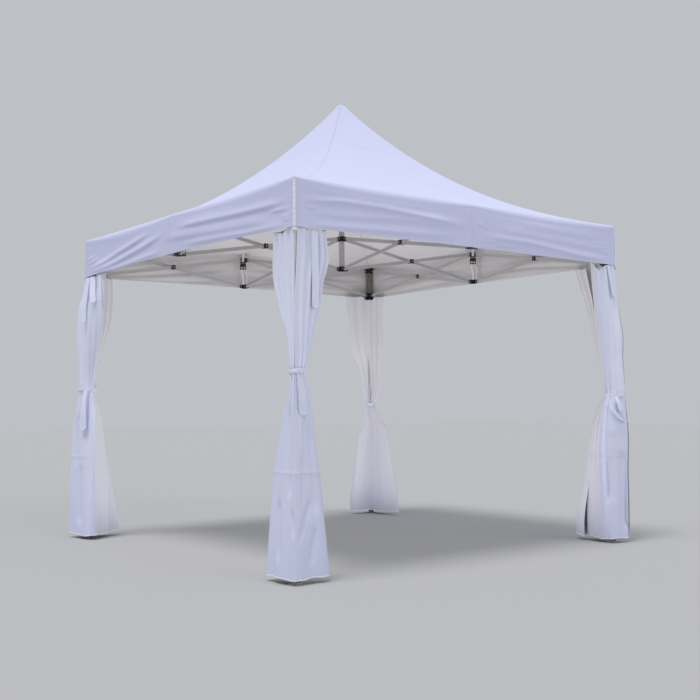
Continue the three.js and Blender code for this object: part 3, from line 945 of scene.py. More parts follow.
def roof_height(share):
    """The panel's height; share is 1 at the eave and 0 at the peak."""
    inner = 1 - share
    return EAVE + ROOF_RISE * (
        ROOF_STRAIGHT_SHARE * inner + (1 - ROOF_STRAIGHT_SHARE) * inner ** ROOF_CURVE_POWER
    )


print(f"eave slope {math.degrees(eave_slope):.1f} degrees, height half way in {roof_height(0.5):.3f}")

# %% Rows of the roof
ROOF_ROWS = 74
ROLL_ROWS = 9
RING_ROWS = [-0.012, -0.006, -0.003, 0, 0.003, 0.006, 0.012]     # beside the round seam
ROLL_SHARE = 0.1              # the share of the way in over which the roll's own place fades out


def roof_rows(across):
    """Each row's distance in from the roof's edge, and its height, from the valance up to the peak."""
    ring = (1 - RING_SEAM_AT) + np.array(RING_ROWS) / HALF
    inward = np.unique(np.concatenate([np.linspace(0, 1, ROOF_ROWS), ring]).round(5))
    radius = roll_radius(across)
    turn_in = radius * (1 - np.cos(ROLL_TURN))
    rows = []
    for angle in np.linspace(0, ROLL_TURN, ROLL_ROWS)[:-1]:
        rows.append((radius * (1 - math.cos(angle)),
                     EAVE - roll_reach(across) + radius * math.sin(angle)))
    for share in inward:
        start = turn_in * max(0.0, 1 - share / ROLL_SHARE)
        distance = np.minimum(start + share * HALF, HALF)
        rounded = np.hypot(1 - distance / HALF, TIP_ROUND)
        height = roof_height(rounded) + TIP_LIFT * np.exp(-((HALF - distance) / TIP_REACH) ** 2)
        rows.append((distance, height))
    return np.array([row[0] for row in rows]), np.array([row[1] for row in rows])


print("rows of the roof:", len(roof_rows(np.zeros(1))[0]))

# %% Wrinkles of the roof
WAVE_HEIGHT = 0.0022          # broad waves all over
CREASE_HEIGHT = 0.0016        # slanting creases half way up
RING_PUCKER = 0.0011          # where the thread draws in the round seam
HIP_PUCKER = 0.0009           # and the hips


def wrinkled(height, x, out, across, distance, hip, ring):
    """The roof's height with its sag, wrinkles and seams; hip and ring are distances to those seams."""
    share = out / HALF
    height = height - ROOF_SAG * (1 - across ** 2) * 4 * share * (1 - share)
    waves = WAVE_HEIGHT * np.sin(9 * x + 2.1 * out) * np.sin(5.3 * out + 1.3)
    slanting = np.sin(31 * x - 12 * out + np.sin(6 * x))
    creases = CREASE_HEIGHT * slanting * np.exp(-((share - 0.62) / 0.22) ** 2)
    calm = smooth_step(hip / 0.08) * smooth_step(distance / 0.12) * smooth_step(out / 0.15)
    height = height + (waves + creases) * calm
    ring_puckers = RING_PUCKER * np.sin(x / 0.0105) * np.exp(-ring / 0.03) * smooth_step(hip / 0.02)
    hip_puckers = HIP_PUCKER * np.sin(out / 0.011) * np.exp(-hip / 0.025) * smooth_step(hip / 0.006)
    height = height + (ring_puckers + hip_puckers) * smooth_step(distance / 0.12)
    ridge = SEAM_RIDGE * np.exp(-(np.minimum(hip, ring) / SEAM_WIDTH) ** 2)
    return height + ridge * smooth_step(distance / 0.03)


print(f"waves of {WAVE_HEIGHT * 1000} mm, creases of {CREASE_HEIGHT * 1000} mm")

# %% One roof panel
ROOF_COLUMNS = 97
CORNER_CROWDING = 1.6         # above 1, columns stand closer together near the hips


def roof_panel():
    """Points, flat coordinates, seam distances and length of the front panel."""
    t = np.linspace(-1, 1, ROOF_COLUMNS)
    across = np.sign(t) * (1 - (1 - np.abs(t)) ** CORNER_CROWDING)
    distance, height = roof_rows(across)
    out = HALF - distance
    x = across * out
    hip = (1 - np.abs(across)) * out / math.sqrt(2)
    ring = np.abs(out - RING_SEAM_AT * HALF)
    height = wrinkled(height, x, out, across, distance, hip, ring)
    points = np.stack([x, -out, height], axis=-1)
    steps = np.linalg.norm(np.diff(points[:, len(across) // 2], axis=0), axis=-1)
    length = np.concatenate([[0], np.cumsum(steps)])
    cut = np.stack([x, np.broadcast_to(length[:, None], x.shape)], axis=-1)
    return points, cut, np.minimum(hip, ring), float(length[-1])


roof_points, roof_cut, roof_seam, ROOF_LENGTH = roof_panel()

# %% [markdown]
# ### Four panels, and how they fold
# When the frame closes, the eave comes in from three metres to half a metre and each panel hangs down
# from it. A panel rides on its own body, which swings down at the eave. Real cloth crumples between the
# bars, and no simple motion can show that.

# %% Roof panels
def weld(mesh):
    """Joins the points that lie in one place, such as a grid's row that has shrunk to the peak."""
    work = bmesh.new()
    work.from_mesh(mesh)
    bmesh.ops.remove_doubles(work, verts=work.verts, dist=1e-5)
    work.to_mesh(mesh)
    work.free()


for k, side in enumerate(SIDES):
    mesh = grid_mesh(f"roof_{side}", quarter_turned(roof_points, k), roof_cut, roof_seam)
    weld(mesh)
    panel = cloth_piece(f"roof_{side}", mesh, canopy_outside, canopy_inside)
    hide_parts(f"canopy_{side}")
    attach(panel, f"canopy_{side}")
    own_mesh(panel)
print("roof panels:", len(SIDES))

# %% [markdown]
# ## Valance
# The valance hangs from the eave. Its cloth is pulled tight between the corners, which gives long drag
# folds that start at a corner's stitches and die out towards the middle, where an upright seam starts a
# few small puckers of its own. Each fold is given as its crest's places along the side and below the
# eave, its height and its width. Such folds could be sculpted by hand too, but numbers can be mirrored
# for the sides out of sight.

# %% Valance folds
# Each fold: crest points (along the side from its middle, below the eave), height, half width.
FRONT_FOLDS = [
    ([(-1.49, .138), (-1.32, .131), (-1.16, .118), (-1.0, .116), (-.83, .119), (-.39, .140), (-.12, .150)],
     .0125, .013),
    ([(-1.43, .203), (-1.17, .203), (-.68, .173), (-.30, .160), (0, .158)], .0075, .020),
    ([(-1.47, .284), (-1.27, .277), (-1.0, .268), (-.68, .256), (-.39, .246), (-.13, .236)], .0080, .015),
    ([(-1.48, .060), (-1.1, .066), (-.7, .075), (-.3, .080)], .0045, .022),
    ([(-1.44, .175), (-1.38, .178), (-1.30, .176)], .0030, .006),
    ([(0, .212), (.24, .216), (.56, .221), (.82, .238), (1.08, .261), (1.46, .266)], .0100, .014),
    ([(.10, .150), (.60, .162), (1.2, .185), (1.46, .196)], .0055, .020),
    ([(.35, .092), (.90, .104), (1.46, .118)], .0045, .022),
    ([(-.01, .124), (.03, .128), (.10, .130)], .0028, .006),
    ([(0, .139), (.06, .146), (.14, .158)], .0028, .006),
    ([(.01, .046), (.04, .052), (.09, .062)], .0026, .006),
    ([(-.03, .236), (.06, .246), (.16, .243), (.27, .254), (.38, .250)], .0034, .008),
    ([(.06, .262), (.18, .268), (.34, .262), (.48, .270)], .0030, .007),
    ([(1.16, .148), (1.28, .150), (1.44, .152)], .0028, .006),
    ([(1.20, .176), (1.30, .180), (1.46, .182)], .0028, .006),
    ([(1.24, .205), (1.34, .210), (1.47, .216)], .0028, .006),
]
LEFT_FOLDS = [
    ([(1.48, .140), (1.09, .138), (.82, .132), (.43, .118), (.0, .108)], .0130, .014),
    ([(1.48, .190), (1.36, .184), (1.20, .184)], .0060, .008),
    ([(1.48, .222), (1.42, .228), (1.34, .236)], .0040, .007),
    ([(1.48, .252), (1.42, .250), (1.36, .252)], .0040, .007),
    ([(1.34, .242), (1.0, .218), (.63, .204), (.1, .175), (-.2, .165)], .0090, .020),
    ([(1.49, .280), (1.26, .275), (1.0, .271), (.72, .259), (.43, .250), (.10, .238)], .0080, .013),
    ([(-1.48, .240), (-1.11, .212), (-.89, .174), (-.57, .126), (-.30, .080)], .0130, .013),
    ([(-1.48, .208), (-1.36, .192), (-1.22, .170)], .0065, .009),
    ([(-1.48, .176), (-1.38, .160), (-1.28, .138)], .0050, .009),
    ([(-1.46, .268), (-.97, .246), (-.70, .213), (-.45, .180), (-.09, .116)], .0135, .014),
    ([(-1.44, .290), (-.83, .284), (-.45, .262), (-.09, .240)], .0075, .011),
]


def mirrored(folds):
    """The same folds, seen in a mirror."""
    other = []
    for crest, height, width in folds:
        other.append(([(-along, below) for along, below in crest], height, width))
    return other


FOLDS = {
    "front": FRONT_FOLDS,
    "left": LEFT_FOLDS,
    "right": mirrored(FRONT_FOLDS),
    "back": mirrored(LEFT_FOLDS),
}
print("folds:", {side: len(folds) for side, folds in FOLDS.items()})

# %% How the folds shape the valance
FOLD_HEIGHT = 0.80            # both work on all folds
FOLD_WIDTH = 1.45
FOLD_LOWER = 0.8              # a fold is steeper on its lower side, as cloth is that hangs from above,
FOLD_UPPER = 1.35             # and flatter on its upper side
FOLD_FADE = 0.32              # the length over which a fold's end dies out
VALANCE_BULGE = 0.0035


def crest_curve(crest, x):
    """Depth of a fold's crest over x, smooth through its points, and its share of full height there."""
    crest = sorted(crest)
    first, last = crest[0][0], crest[-1][0]
    fade = min(FOLD_FADE, (last - first) / 2)
    share = smooth_step((x - first) / fade) * smooth_step((last - x) / fade)
    return smooth_curve(crest, x), share


def valance_out(x, below, folds):
    """How far the folds push the valance's cloth out from its plane."""
    out = VALANCE_BULGE * np.sin(2.3 * x + 0.7) * np.sin(below / 0.3 * np.pi)
    for crest, height, width in folds:
        depth, share = crest_curve(crest, x)
        away = below - depth
        side_width = FOLD_WIDTH * np.where(away > 0, FOLD_LOWER * width, FOLD_UPPER * width)
        out = out + FOLD_HEIGHT * height * share * np.exp(-(away / side_width) ** 2)
    return out


tallest = valance_out(np.linspace(-HALF, HALF, 200), 0.13, FRONT_FOLDS).max()
print(f"0.13 m below the eave the front's folds stand out by up to {tallest * 1000:.0f} mm")

# %% Rows and columns of the valance
HEM_BELOW = 0.302             # the hem's edge below the eave
HEM_STITCH = 0.024            # the stitched line above the hem's edge
HEM_BOW = {"front": 0.004, "left": 0.020, "right": 0.008, "back": 0.012}
MIDDLE_SEAM_AT = -0.04
VALANCE_COLUMNS = 201
VALANCE_ROWS = 44
BESIDE_SEAM = [-0.004, -0.002, 0.002, 0.004]
BESIDE_HEM = 0.008


def valance_places(side):
    """Each point's place along the side and below the eave, with the valance's top and hem there."""
    t = np.linspace(-1, 1, VALANCE_COLUMNS)
    x = HALF * np.sign(t) * (1 - (1 - np.abs(t)) ** 1.15)
    x = np.sort(np.concatenate([x, MIDDLE_SEAM_AT + np.array(BESIDE_SEAM)]))
    hem = HEM_BELOW - HEM_BOW[side] * (1 - (x / HALF) ** 2)
    top = roll_reach(x / HALF)
    stitched = HEM_STITCH / HEM_BELOW
    low_rows = [0, 0.006, stitched - BESIDE_HEM, stitched]
    share = np.concatenate([low_rows, np.linspace(stitched + BESIDE_HEM, 1, VALANCE_ROWS)])
    below = hem + np.outer(share, top - hem)
    return np.broadcast_to(x, below.shape), below, top, hem


print("rows and columns of a valance:", valance_places("front")[1].shape)

# %% Valance grid
HEM_THICK = 0.0008            # the hem is turned up, so it stands out
MIDDLE_RIDGE = 0.0012
HEM_PUCKER = 0.0009


def valance_grid(side):
    """Points, flat coordinates and seam distances of a valance, as it hangs on the front side."""
    across, below, top, hem = valance_places(side)
    out = valance_out(across, below, FOLDS[side])
    out = out * smooth_step((below - top) / 0.045) * smooth_step((HALF - np.abs(across)) / 0.03)
    hem_line = np.abs(below - (hem - HEM_STITCH))
    middle_line = np.abs(across - MIDDLE_SEAM_AT)
    doubled = smooth_step((below - (hem - HEM_STITCH)) / 0.002)
    out = out + HEM_THICK * doubled + MIDDLE_RIDGE * np.exp(-(middle_line / 0.004) ** 2)
    out = out + HEM_PUCKER * np.sin(across / 0.009) * np.exp(-hem_line / 0.012)
    out = out * smooth_step((below - top) / 0.02)
    points = np.stack([across, -HALF - out, EAVE - below], axis=-1)
    cut = np.stack([across, HEM_BELOW - below], axis=-1)
    return points, cut, np.minimum(hem_line, middle_line)


print("points of a valance:", valance_grid("front")[0].shape[:2])

for k, side in enumerate(SIDES):
    points, cut, seam = valance_grid(side)
    mesh = grid_mesh(f"valance_{side}", quarter_turned(points, k), cut, seam)
    valance = cloth_piece(f"valance_{side}", mesh, canopy_outside, canopy_inside)
    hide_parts(f"canopy_{side}")
    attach(valance, f"upper_bracket_{side}")
    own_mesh(valance)
    print(f"valance {side}: {len(FOLDS[side])} folds, area {area_of(points):.2f}")

# %% [markdown]
# ## Curtains
# At each corner hang two curtain panels, one on each side of the leg. A panel starts at the corner's
# outer edge, runs along under the valance for a quarter of a metre or more, turns round and comes back on
# the inside, so together they hide the leg. Their tops are gathered into pleats, a tie pulls them in
# round the leg, and below it they fall open to the ground. A panel is a loft through three outlines: the
# pleated one at the top, the ring at the tie and the wide one at the hem. How far it reaches at each
# height was read from its silhouette, so no two of the eight are alike.

# %% Curtain outlines
FACE = 1.4957                 # the outer face of the curtains, just inside the valance
AXIS = FACE - LEG_AT          # the leg's axis, in from that face
OUTLINE_POINTS = 401
# A panel's first centimetres, in metres: panel 0 turns in behind panel 1, which closes the corner.
CORNER_RETURN = {0: [(.0125, .046), (.0105, .012), (.001, .003)], 1: [(.0, .004)]}
# Outlines from the corner round and back, as (share of the reach along the side, in from the face).
TOP_START = [(.08, .002), (.48, .002)]
TOP_OUTLINE = TOP_START + [(.94, .003), (1, .014), (.98, .030), (.66, .052), (.30, .071)]
SPECIAL_TOPS = {
    ("back_right", "right"): TOP_START + [(.94, .003), (1, .014), (.98, .030), (.66, .052), (.20, .076)],
    ("back_right", "back"): TOP_START + [(.94, .003), (1, .014), (.98, .030), (.66, .052), (.15, .076)],
    ("front_right", "right"): TOP_START + [(.96, .003), (1, .014), (.98, .028), (.80, .045), (.62, .058)],
}
HEM_START = [(.08, .001), (.50, 0)]
HEM_OUTLINE = HEM_START + [(.93, .001), (1, .016), (.98, .040), (.66, .076), (.32, .098)]
SPECIAL_HEMS = {
    ("back_right", "right"): HEM_START + [(.93, .001), (1, .016), (.98, .040), (.60, .076), (.14, .088)],
    ("back_right", "back"): HEM_START + [(.93, .001), (1, .016), (.98, .040), (.60, .076), (.20, .088)],
    ("front_right", "front"):
        [(.12, .001), (.50, -.004), (.94, 0), (1, .02), (.98, .07), (.88, .16), (.70, .24)],
    ("front_right", "right"): HEM_START + [(.93, 0), (1, .014), (.96, .040), (.80, .085), (.60, .12)],
    ("back_left", "left"): HEM_START + [(.93, 0), (1, .02), (.95, .05), (.70, .10), (.50, .16)],
}


def outline_of(points, count):
    """Points spread evenly along a smoothed polyline, and the directions that point into the outline."""
    corners = np.array(points, float)
    steps = np.concatenate([[0], np.cumsum(np.linalg.norm(np.diff(corners, axis=0), axis=1))])
    at = np.linspace(0, steps[-1], count)
    line = np.stack([np.interp(at, steps, corners[:, i]) for i in (0, 1)], axis=-1)
    for _ in range(6):
        line[1:-1] = (line[:-2] + line[1:-1] + line[2:]) / 3
    tangent = np.gradient(line, axis=0)
    tangent /= np.linalg.norm(tangent, axis=1, keepdims=True)
    return line, np.stack([-tangent[:, 1], tangent[:, 0]], axis=-1)


def open_outline(points, reach, arm, s):
    """The outline for a reach at the places s from 0 to 1, and its inward directions."""
    corners = CORNER_RETURN[arm] + [(share * reach, deep) for share, deep in points]
    line, inward = outline_of(corners, OUTLINE_POINTS)
    at = np.linspace(0, 1, OUTLINE_POINTS)
    line = np.stack([np.interp(s, at, line[:, i]) for i in (0, 1)], axis=-1)
    return line, np.stack([np.interp(s, at, inward[:, i]) for i in (0, 1)], axis=-1)


print("outlines of their own:", len(SPECIAL_TOPS), "at the top,", len(SPECIAL_HEMS), "at the hem")

# %% Pleats
def pleat_phase(seed, count, s):
    """Uneven pleats: the phase over s grows by one turn for each of them."""
    widths = np.random.default_rng(seed).uniform(0.72, 1.28, count)
    edges = np.concatenate([[0], np.cumsum(widths)]) / widths.sum()
    return 2 * np.pi * np.interp(s, edges, np.arange(count + 1))


def pleat(phase, sharpness):
    """0 on a fold's crest and 1 in its valley."""
    return ((1 - np.cos(phase)) / 2) ** sharpness


print("a pleat from crest to valley:", pleat(np.linspace(0, np.pi, 5), 1.25).round(2))

# %% [markdown]
# ### How far each panel reaches
# These are the silhouettes: at each height, how far from the corner the panel's far fold lies. The second
# table says how far the cloth at the corner stands out from the two faces, as the ties at the left and
# the right bunch the cloth on the outer side of the leg.

# %% Curtain silhouettes
REACH = {
    ("front_left", "left"): [
        (2.11, .243), (1.98, .250), (1.89, .256), (1.79, .246), (1.70, .216), (1.62, .192), (1.56, .163),
        (1.49, .134), (1.42, .115), (1.34, .100), (1.25, .085), (1.16, .098), (1.09, .112), (1.02, .150),
        (.96, .166), (.89, .188), (.80, .216), (.69, .235), (.35, .268), (.03, .292)],
    ("front_left", "front"): [
        (2.11, .243), (2.03, .255), (1.93, .267), (1.87, .252), (1.80, .228), (1.68, .210), (1.55, .180),
        (1.42, .148), (1.32, .124), (1.25, .085), (1.20, .113), (1.08, .140), (.98, .157), (.89, .157),
        (.80, .172), (.69, .187), (.35, .225), (.03, .262)],
    ("back_left", "back"): [
        (2.11, .225), (1.99, .230), (1.83, .220), (1.69, .195), (1.56, .152), (1.41, .115), (1.29, .088),
        (1.19, .075), (1.07, .080), (1.01, .090), (.93, .115), (.84, .135), (.71, .165), (.58, .190),
        (.34, .240), (.12, .280), (.03, .292)],
    ("back_left", "left"): [
        (2.11, .320), (1.90, .315), (1.70, .275), (1.55, .215), (1.43, .155), (1.30, .100), (1.19, .075),
        (1.10, .085), (1.00, .115), (.80, .150), (.50, .185), (.25, .210), (.03, .225)],
    ("back_right", "right"): [
        (2.11, .230), (2.01, .208), (1.86, .207), (1.70, .210), (1.56, .208), (1.44, .203), (1.33, .190),
        (1.22, .175), (1.12, .130), (1.06, .092), (1.02, .125), (.98, .155), (.91, .205), (.85, .245),
        (.78, .275), (.68, .295), (.56, .325), (.34, .380), (.15, .420), (.03, .430)],
    ("back_right", "back"): [
        (2.11, .318), (1.98, .315), (1.89, .298), (1.78, .285), (1.67, .268), (1.59, .243), (1.52, .212),
        (1.46, .175), (1.40, .155), (1.33, .140), (1.23, .122), (1.14, .102), (1.06, .089), (.98, .095),
        (.91, .110), (.84, .135), (.77, .175), (.68, .190), (.48, .222), (.29, .254), (.12, .285),
        (.03, .278)],
    ("front_right", "front"): [
        (2.11, .265), (1.96, .252), (1.83, .233), (1.71, .215), (1.61, .189), (1.49, .168), (1.39, .148),
        (1.29, .125), (1.19, .095), (1.11, .078), (1.05, .108), (.95, .138), (.75, .162), (.50, .152),
        (.25, .132), (.03, .118)],
    ("front_right", "right"): [
        (2.11, .375), (2.02, .343), (1.95, .318), (1.88, .288), (1.78, .257), (1.69, .230), (1.59, .204),
        (1.50, .177), (1.39, .150), (1.30, .122), (1.23, .100), (1.17, .085), (1.11, .077), (1.07, .082),
        (1.03, .097), (.97, .130), (.91, .160), (.84, .190), (.76, .217), (.65, .255), (.51, .302),
        (.40, .333), (.23, .388), (.15, .405), (.03, .410)],
}
CORNER_OUT = {
    "front_left": [(2.11, 0), (1.25, 0), (.50, .006), (.03, .012)],
    "back_left": [
        (2.11, .004), (1.99, .012), (1.87, .046), (1.74, .057), (1.53, .060), (1.28, .051), (1.19, .042),
        (1.05, .074), (.86, .091), (.50, .095), (.03, .095)],
    "back_right": [(2.11, 0), (1.06, 0), (.50, .012), (.03, .018)],
    "front_right": [
        (2.11, .004), (1.90, .012), (1.70, .024), (1.60, .036), (1.50, .038), (1.42, .029), (1.25, .033),
        (1.10, .036), (1.02, .053), (.50, .055), (.03, .053)],
}
END_OUT = {("front_left", "left"): .030, ("back_left", "left"): .035}     # of the inner end, at the hem
# Each tie: its height, its ring's radius round the leg, and how far the bunch outside the leg stands out.
TIES = {
    "front_left": (1.25, .044, 0),
    "back_left": (1.19, .034, .083),
    "back_right": (1.06, .048, 0),
    "front_right": (1.11, .036, .081),
}
# How open a panel is at each share of the way from its tie up to its top, and down to its hem.
OPEN_UP = [(0, 0), (.1, .17), (.25, .41), (.45, .68), (.65, .87), (.85, .99), (1, 1)]
OPEN_DOWN = [(0, 0), (.04, .16), (.12, .34), (.24, .54), (.37, .70), (.55, .86), (.75, .96), (1, 1)]
print(len(REACH), "panels; ties at", [t[0] for t in TIES.values()])

# %% [markdown]
# ### Folds of the panels
# The pleats run down from the header to the tie, broader folds go on below it, and single creases cross
# them. Every panel has a stitched seam across it at knee height, which puffs out and puckers. A fold is
# only a distance by which the cloth lies in from its outline, so all kinds of folds can be added up.

# %% Heights and depths of the curtains
CURTAIN_HEM = 0.028
# The hem's lowest band is painted brighter: a painted highlight for the light its folded edge catches.
HEM_EDGE = 0.008              # the hem's folded edge catches the light
CROSS_SEAM_HEIGHT = 0.65
BESIDE_CROSS_SEAM = 0.004
PLEATS = 7
PANEL_ROWS = 54               # above the tie, and as many below it
ROW_CROWDING = 1.25           # above 1, rows stand closer together near the tie
FAR_FOLD = 0.55               # the share of a panel's width that lies outside its far fold
RETURN_SHARE = .085           # the share of panel 0's width that lies behind panel 1
OUTER_PLEAT_DEPTH = 0.019
INNER_PLEAT_DEPTH = 0.010
HEM_FOLD_DEPTH = 0.013
HEADER_HEIGHT = 0.09          # the stiff tape along the top, which
HEADER_CALM = 0.35            # flattens the pleats by this share
SEAM_PUFF = 0.0022
SEAM_PUCKER = 0.0016


def panel_rows(tie):
    """Heights of a panel's rows, closer together at the tie, with some for the hem and the cross seam."""
    t = np.linspace(0, 1, PANEL_ROWS) ** ROW_CROWDING
    up = tie + (CURTAIN_TOP - tie) * t
    down = tie - (tie - CURTAIN_HEM) * t
    stitched = CURTAIN_HEM + HEM_STITCH
    seams = [CURTAIN_HEM + HEM_EDGE, stitched, stitched - 0.004, CROSS_SEAM_HEIGHT - BESIDE_CROSS_SEAM,
             CROSS_SEAM_HEIGHT, CROSS_SEAM_HEIGHT + BESIDE_CROSS_SEAM]
    return np.unique(np.concatenate([up, down, seams]).round(5))


def tie_shares(z, corner):
    """How far up from the tie to the top, and how far down from it to the hem, the heights z lie."""
    tie = TIES[corner][0]
    above = np.clip((z - tie) / (CURTAIN_TOP - tie), 0, 1)
    below = np.clip((tie - z) / (tie - CURTAIN_HEM), 0, 1)
    return above, below


print("rows of a panel:", len(panel_rows(TIES["front_left"][0])))

# %% Single creases below the ties
CREASE_DEPTH = 1.6            # works on all of them
# Each crease: (along the side, height) of both ends, lower end first, depth and half width.
CREASES = {
    ("front_left", "front"): [
        ((.027, .248), (.111, .504), .009, .016), ((.116, .10), (.139, .338), .008, .016),
        ((.060, .45), (.052, .80), .007, .015), ((.150, .40), (.100, .95), .008, .022)],
    ("front_left", "left"): [
        ((.180, .12), (.178, .50), .010, .020), ((.054, .268), (.072, .447), .009, .012),
        ((.090, .50), (.070, 1.05), .008, .016)],
    ("back_left", "left"): [((.10, .10), (.06, .60), .012, .022), ((.05, .55), (.03, 1.0), .010, .018)],
    ("front_right", "front"): [((.02, .10), (.06, .70), .010, .022), ((.10, .30), (.09, .85), .008, .018)],
    ("back_right", "right"): [((.24, .10), (.12, .80), .012, .025)],
    ("back_right", "back"): [((.18, .10), (.08, .85), .012, .022)],
}


def creased(fold, s, z, corner, side):
    """The folds with the panel's single creases added."""
    for lower, upper, deep, half_width in CREASES.get((corner, side), []):
        t = np.clip((z - lower[1]) / (upper[1] - lower[1]), 0, 1)
        middle = lower[0] + (upper[0] - lower[0]) * t
        along = s / FAR_FOLD * smooth_curve(REACH[corner, side], z)
        fades = smooth_step((z - lower[1]) / 0.06) * smooth_step((upper[1] - z) / 0.06)
        dent = np.exp(-((along - middle) / half_width) ** 2) * (s < FAR_FOLD)
        fold = fold + CREASE_DEPTH * deep * fades * dent
    return fold


print("creases:", sum(len(creases) for creases in CREASES.values()))

# %% Pleats and seams of a panel
def panel_folds(s, z, corner, side, hidden, seed):
    """How far the cloth lies in from its outline, and two sets of pleats that the tie draws together."""
    above, below = tie_shares(z, corner)
    random = np.random.default_rng(seed + 100)
    strength = np.interp(s, np.linspace(0, 1, 9), random.uniform(0.65, 1.1, 9))
    depth = np.where(s < FAR_FOLD, OUTER_PLEAT_DEPTH, INNER_PLEAT_DEPTH) * strength
    depth = depth * (0.2 + 0.8 * smooth_step((s - hidden - 0.02) / 0.14)) * (s > hidden)
    phase = pleat_phase(seed, PLEATS, s)
    broad = pleat_phase(seed + 50, PLEATS // 2, s)
    drift = 0.55 * np.sin(3.1 * z + seed) * above + 0.4 * np.sin(2.2 * z + seed) * below
    crest = pleat(phase + drift, 1.25)
    wide = pleat(broad + 2 * drift, 1.1)
    fine = pleat(2 * phase + 1.3, 1.0)
    calm = smooth_step(below / 0.45)
    taped = 1 - HEADER_CALM * smooth_step((z - CURTAIN_TOP + HEADER_HEIGHT) / HEADER_HEIGHT)
    fold = depth * (crest * (1 - calm) * taped + wide * calm * HEM_FOLD_DEPTH / OUTER_PLEAT_DEPTH)
    at_seam = np.abs(z - CROSS_SEAM_HEIGHT)
    fold = fold - SEAM_PUFF * np.exp(-(at_seam / 0.006) ** 2)
    fold = fold + SEAM_PUCKER * np.sin(150 * s + seed) * np.exp(-at_seam / 0.022) * (s > hidden)
    return creased(fold, s, z, corner, side), crest, fine


print(f"{PLEATS} pleats, up to {1.1 * OUTER_PLEAT_DEPTH * 1000:.0f} mm deep")

# %% [markdown]
# ### From the header to the hem
# A panel is blended between two shapes: the open outline, with its folds, and the ring that the tie draws
# it into. Near the tie the ring counts most. At the end the panel is stretched so that its far fold lies
# where the silhouette has it. Its top edge hangs in small scallops, and its hem is a little ragged.

# %% Open outlines at each height
# How far panel 1's edge lies from the corner, by height.
CORNER_GAP = {corner: [(2.11, .010), (1.90, .007), (1.70, .002), (.03, .0)] for corner in CORNERS}
CORNER_GAP["front_left"] = [(2.11, .021), (2.0, .018), (1.85, .012), (1.70, .004), (1.5, .001), (.03, 0)]


def open_shape(s, z, corner, side, arm, fold):
    """The open panel: places along the side and in from the face; also its top outline."""
    reach_pairs = REACH[corner, side]
    top, top_in = open_outline(SPECIAL_TOPS.get((corner, side), TOP_OUTLINE), reach_pairs[0][1], arm, s)
    hem, hem_in = open_outline(SPECIAL_HEMS.get((corner, side), HEM_OUTLINE), reach_pairs[-1][1], arm, s)
    upper = z >= TIES[corner][0]
    a = np.where(upper, top[:, 0] + top_in[:, 0] * fold, hem[:, 0] + hem_in[:, 0] * fold)
    b = np.where(upper, top[:, 1] + top_in[:, 1] * fold, hem[:, 1] + hem_in[:, 1] * fold)
    stands = smooth_curve(CORNER_OUT[corner], z)
    if arm == 1:
        a = a + smooth_curve(CORNER_GAP[corner], z) * (1 - smooth_step(s / 0.12))
    a = a - stands * (1 - smooth_step(s / 0.45))
    b = b - stands * (1 - smooth_step(s / 0.6))
    inner_end = smooth_step(s / 0.4) * (1 - smooth_step((s - 0.7) / 0.3))
    b = b - END_OUT.get((corner, side), 0) * tie_shares(z, corner)[1] * inner_end
    return a, b, top


print("panels with a gap at the corner:", len(CORNER_GAP))

# %% The ring at the tie
CORNER_ANGLE = 225            # degrees, from the leg's axis out to the corner
OUTER_TURN = 135              # how far the outside of a panel goes round the leg
INNER_TURN = 45               # and its inside
RETURN_TURN = 16              # how far panel 0 goes on behind panel 1
RETURN_INSIDE = 0.004
TIE_FOLD_DEPTH = 0.013
LEG_CLEARANCE = 0.0272        # half the diagonal of the square leg, and a little
BAND_SQUEEZE = 0.0045
SQUEEZE_HALF = 0.018


def tied_shape(s, z, corner, arm, hidden, crest, fine):
    """The panel drawn into a ring round the leg."""
    tie, ring, bunch = TIES[corner]
    behind = RETURN_TURN * (np.clip(s / hidden, 0, 1) - 1) if arm == 0 else -1.0
    shown = np.clip((s - hidden) / (FAR_FOLD - hidden), 0, 1)
    inside = np.clip((s - FAR_FOLD) / (1 - FAR_FOLD), 0, 1)
    angle = np.radians(CORNER_ANGLE + behind + OUTER_TURN * shown + INNER_TURN * inside)
    towards_corner = np.clip(np.cos(angle - np.radians(CORNER_ANGLE)), 0, 1)
    radius = ring + bunch * towards_corner ** 2 - RETURN_INSIDE * (s < hidden)
    radius = radius - BAND_SQUEEZE * np.exp(-((z - tie) / SQUEEZE_HALF) ** 2)
    tie_fold = np.minimum(TIE_FOLD_DEPTH, radius - LEG_CLEARANCE) * (0.75 * crest + 0.25 * fine)
    return AXIS + (radius - tie_fold) * np.cos(angle), AXIS + (radius - tie_fold) * np.sin(angle)


print("a panel goes", OUTER_TURN + INNER_TURN, "degrees round its leg")

# %% Top edge and hem
CURTAIN_INNER_TOP = 2.086     # lower on the inside, clear of the sliders
TOP_FAR_FOLD = 0.60           # the share of the width outside the far fold, along the top
SLIDER_REACH = 0.140          # beyond this the curtain's top is clear of the slider
SCALLOP_DEPTH = 0.007
HEM_RAGGED = 0.004
# Where a top edge hangs down in a deep scallop: the places along the side where it starts, is lowest and
# ends, and its depth.
TOP_DIPS = {
    ("front_left", "left"): (.085, .130, .225, .024),
    ("front_right", "front"): (.105, .170, .262, .045),
}


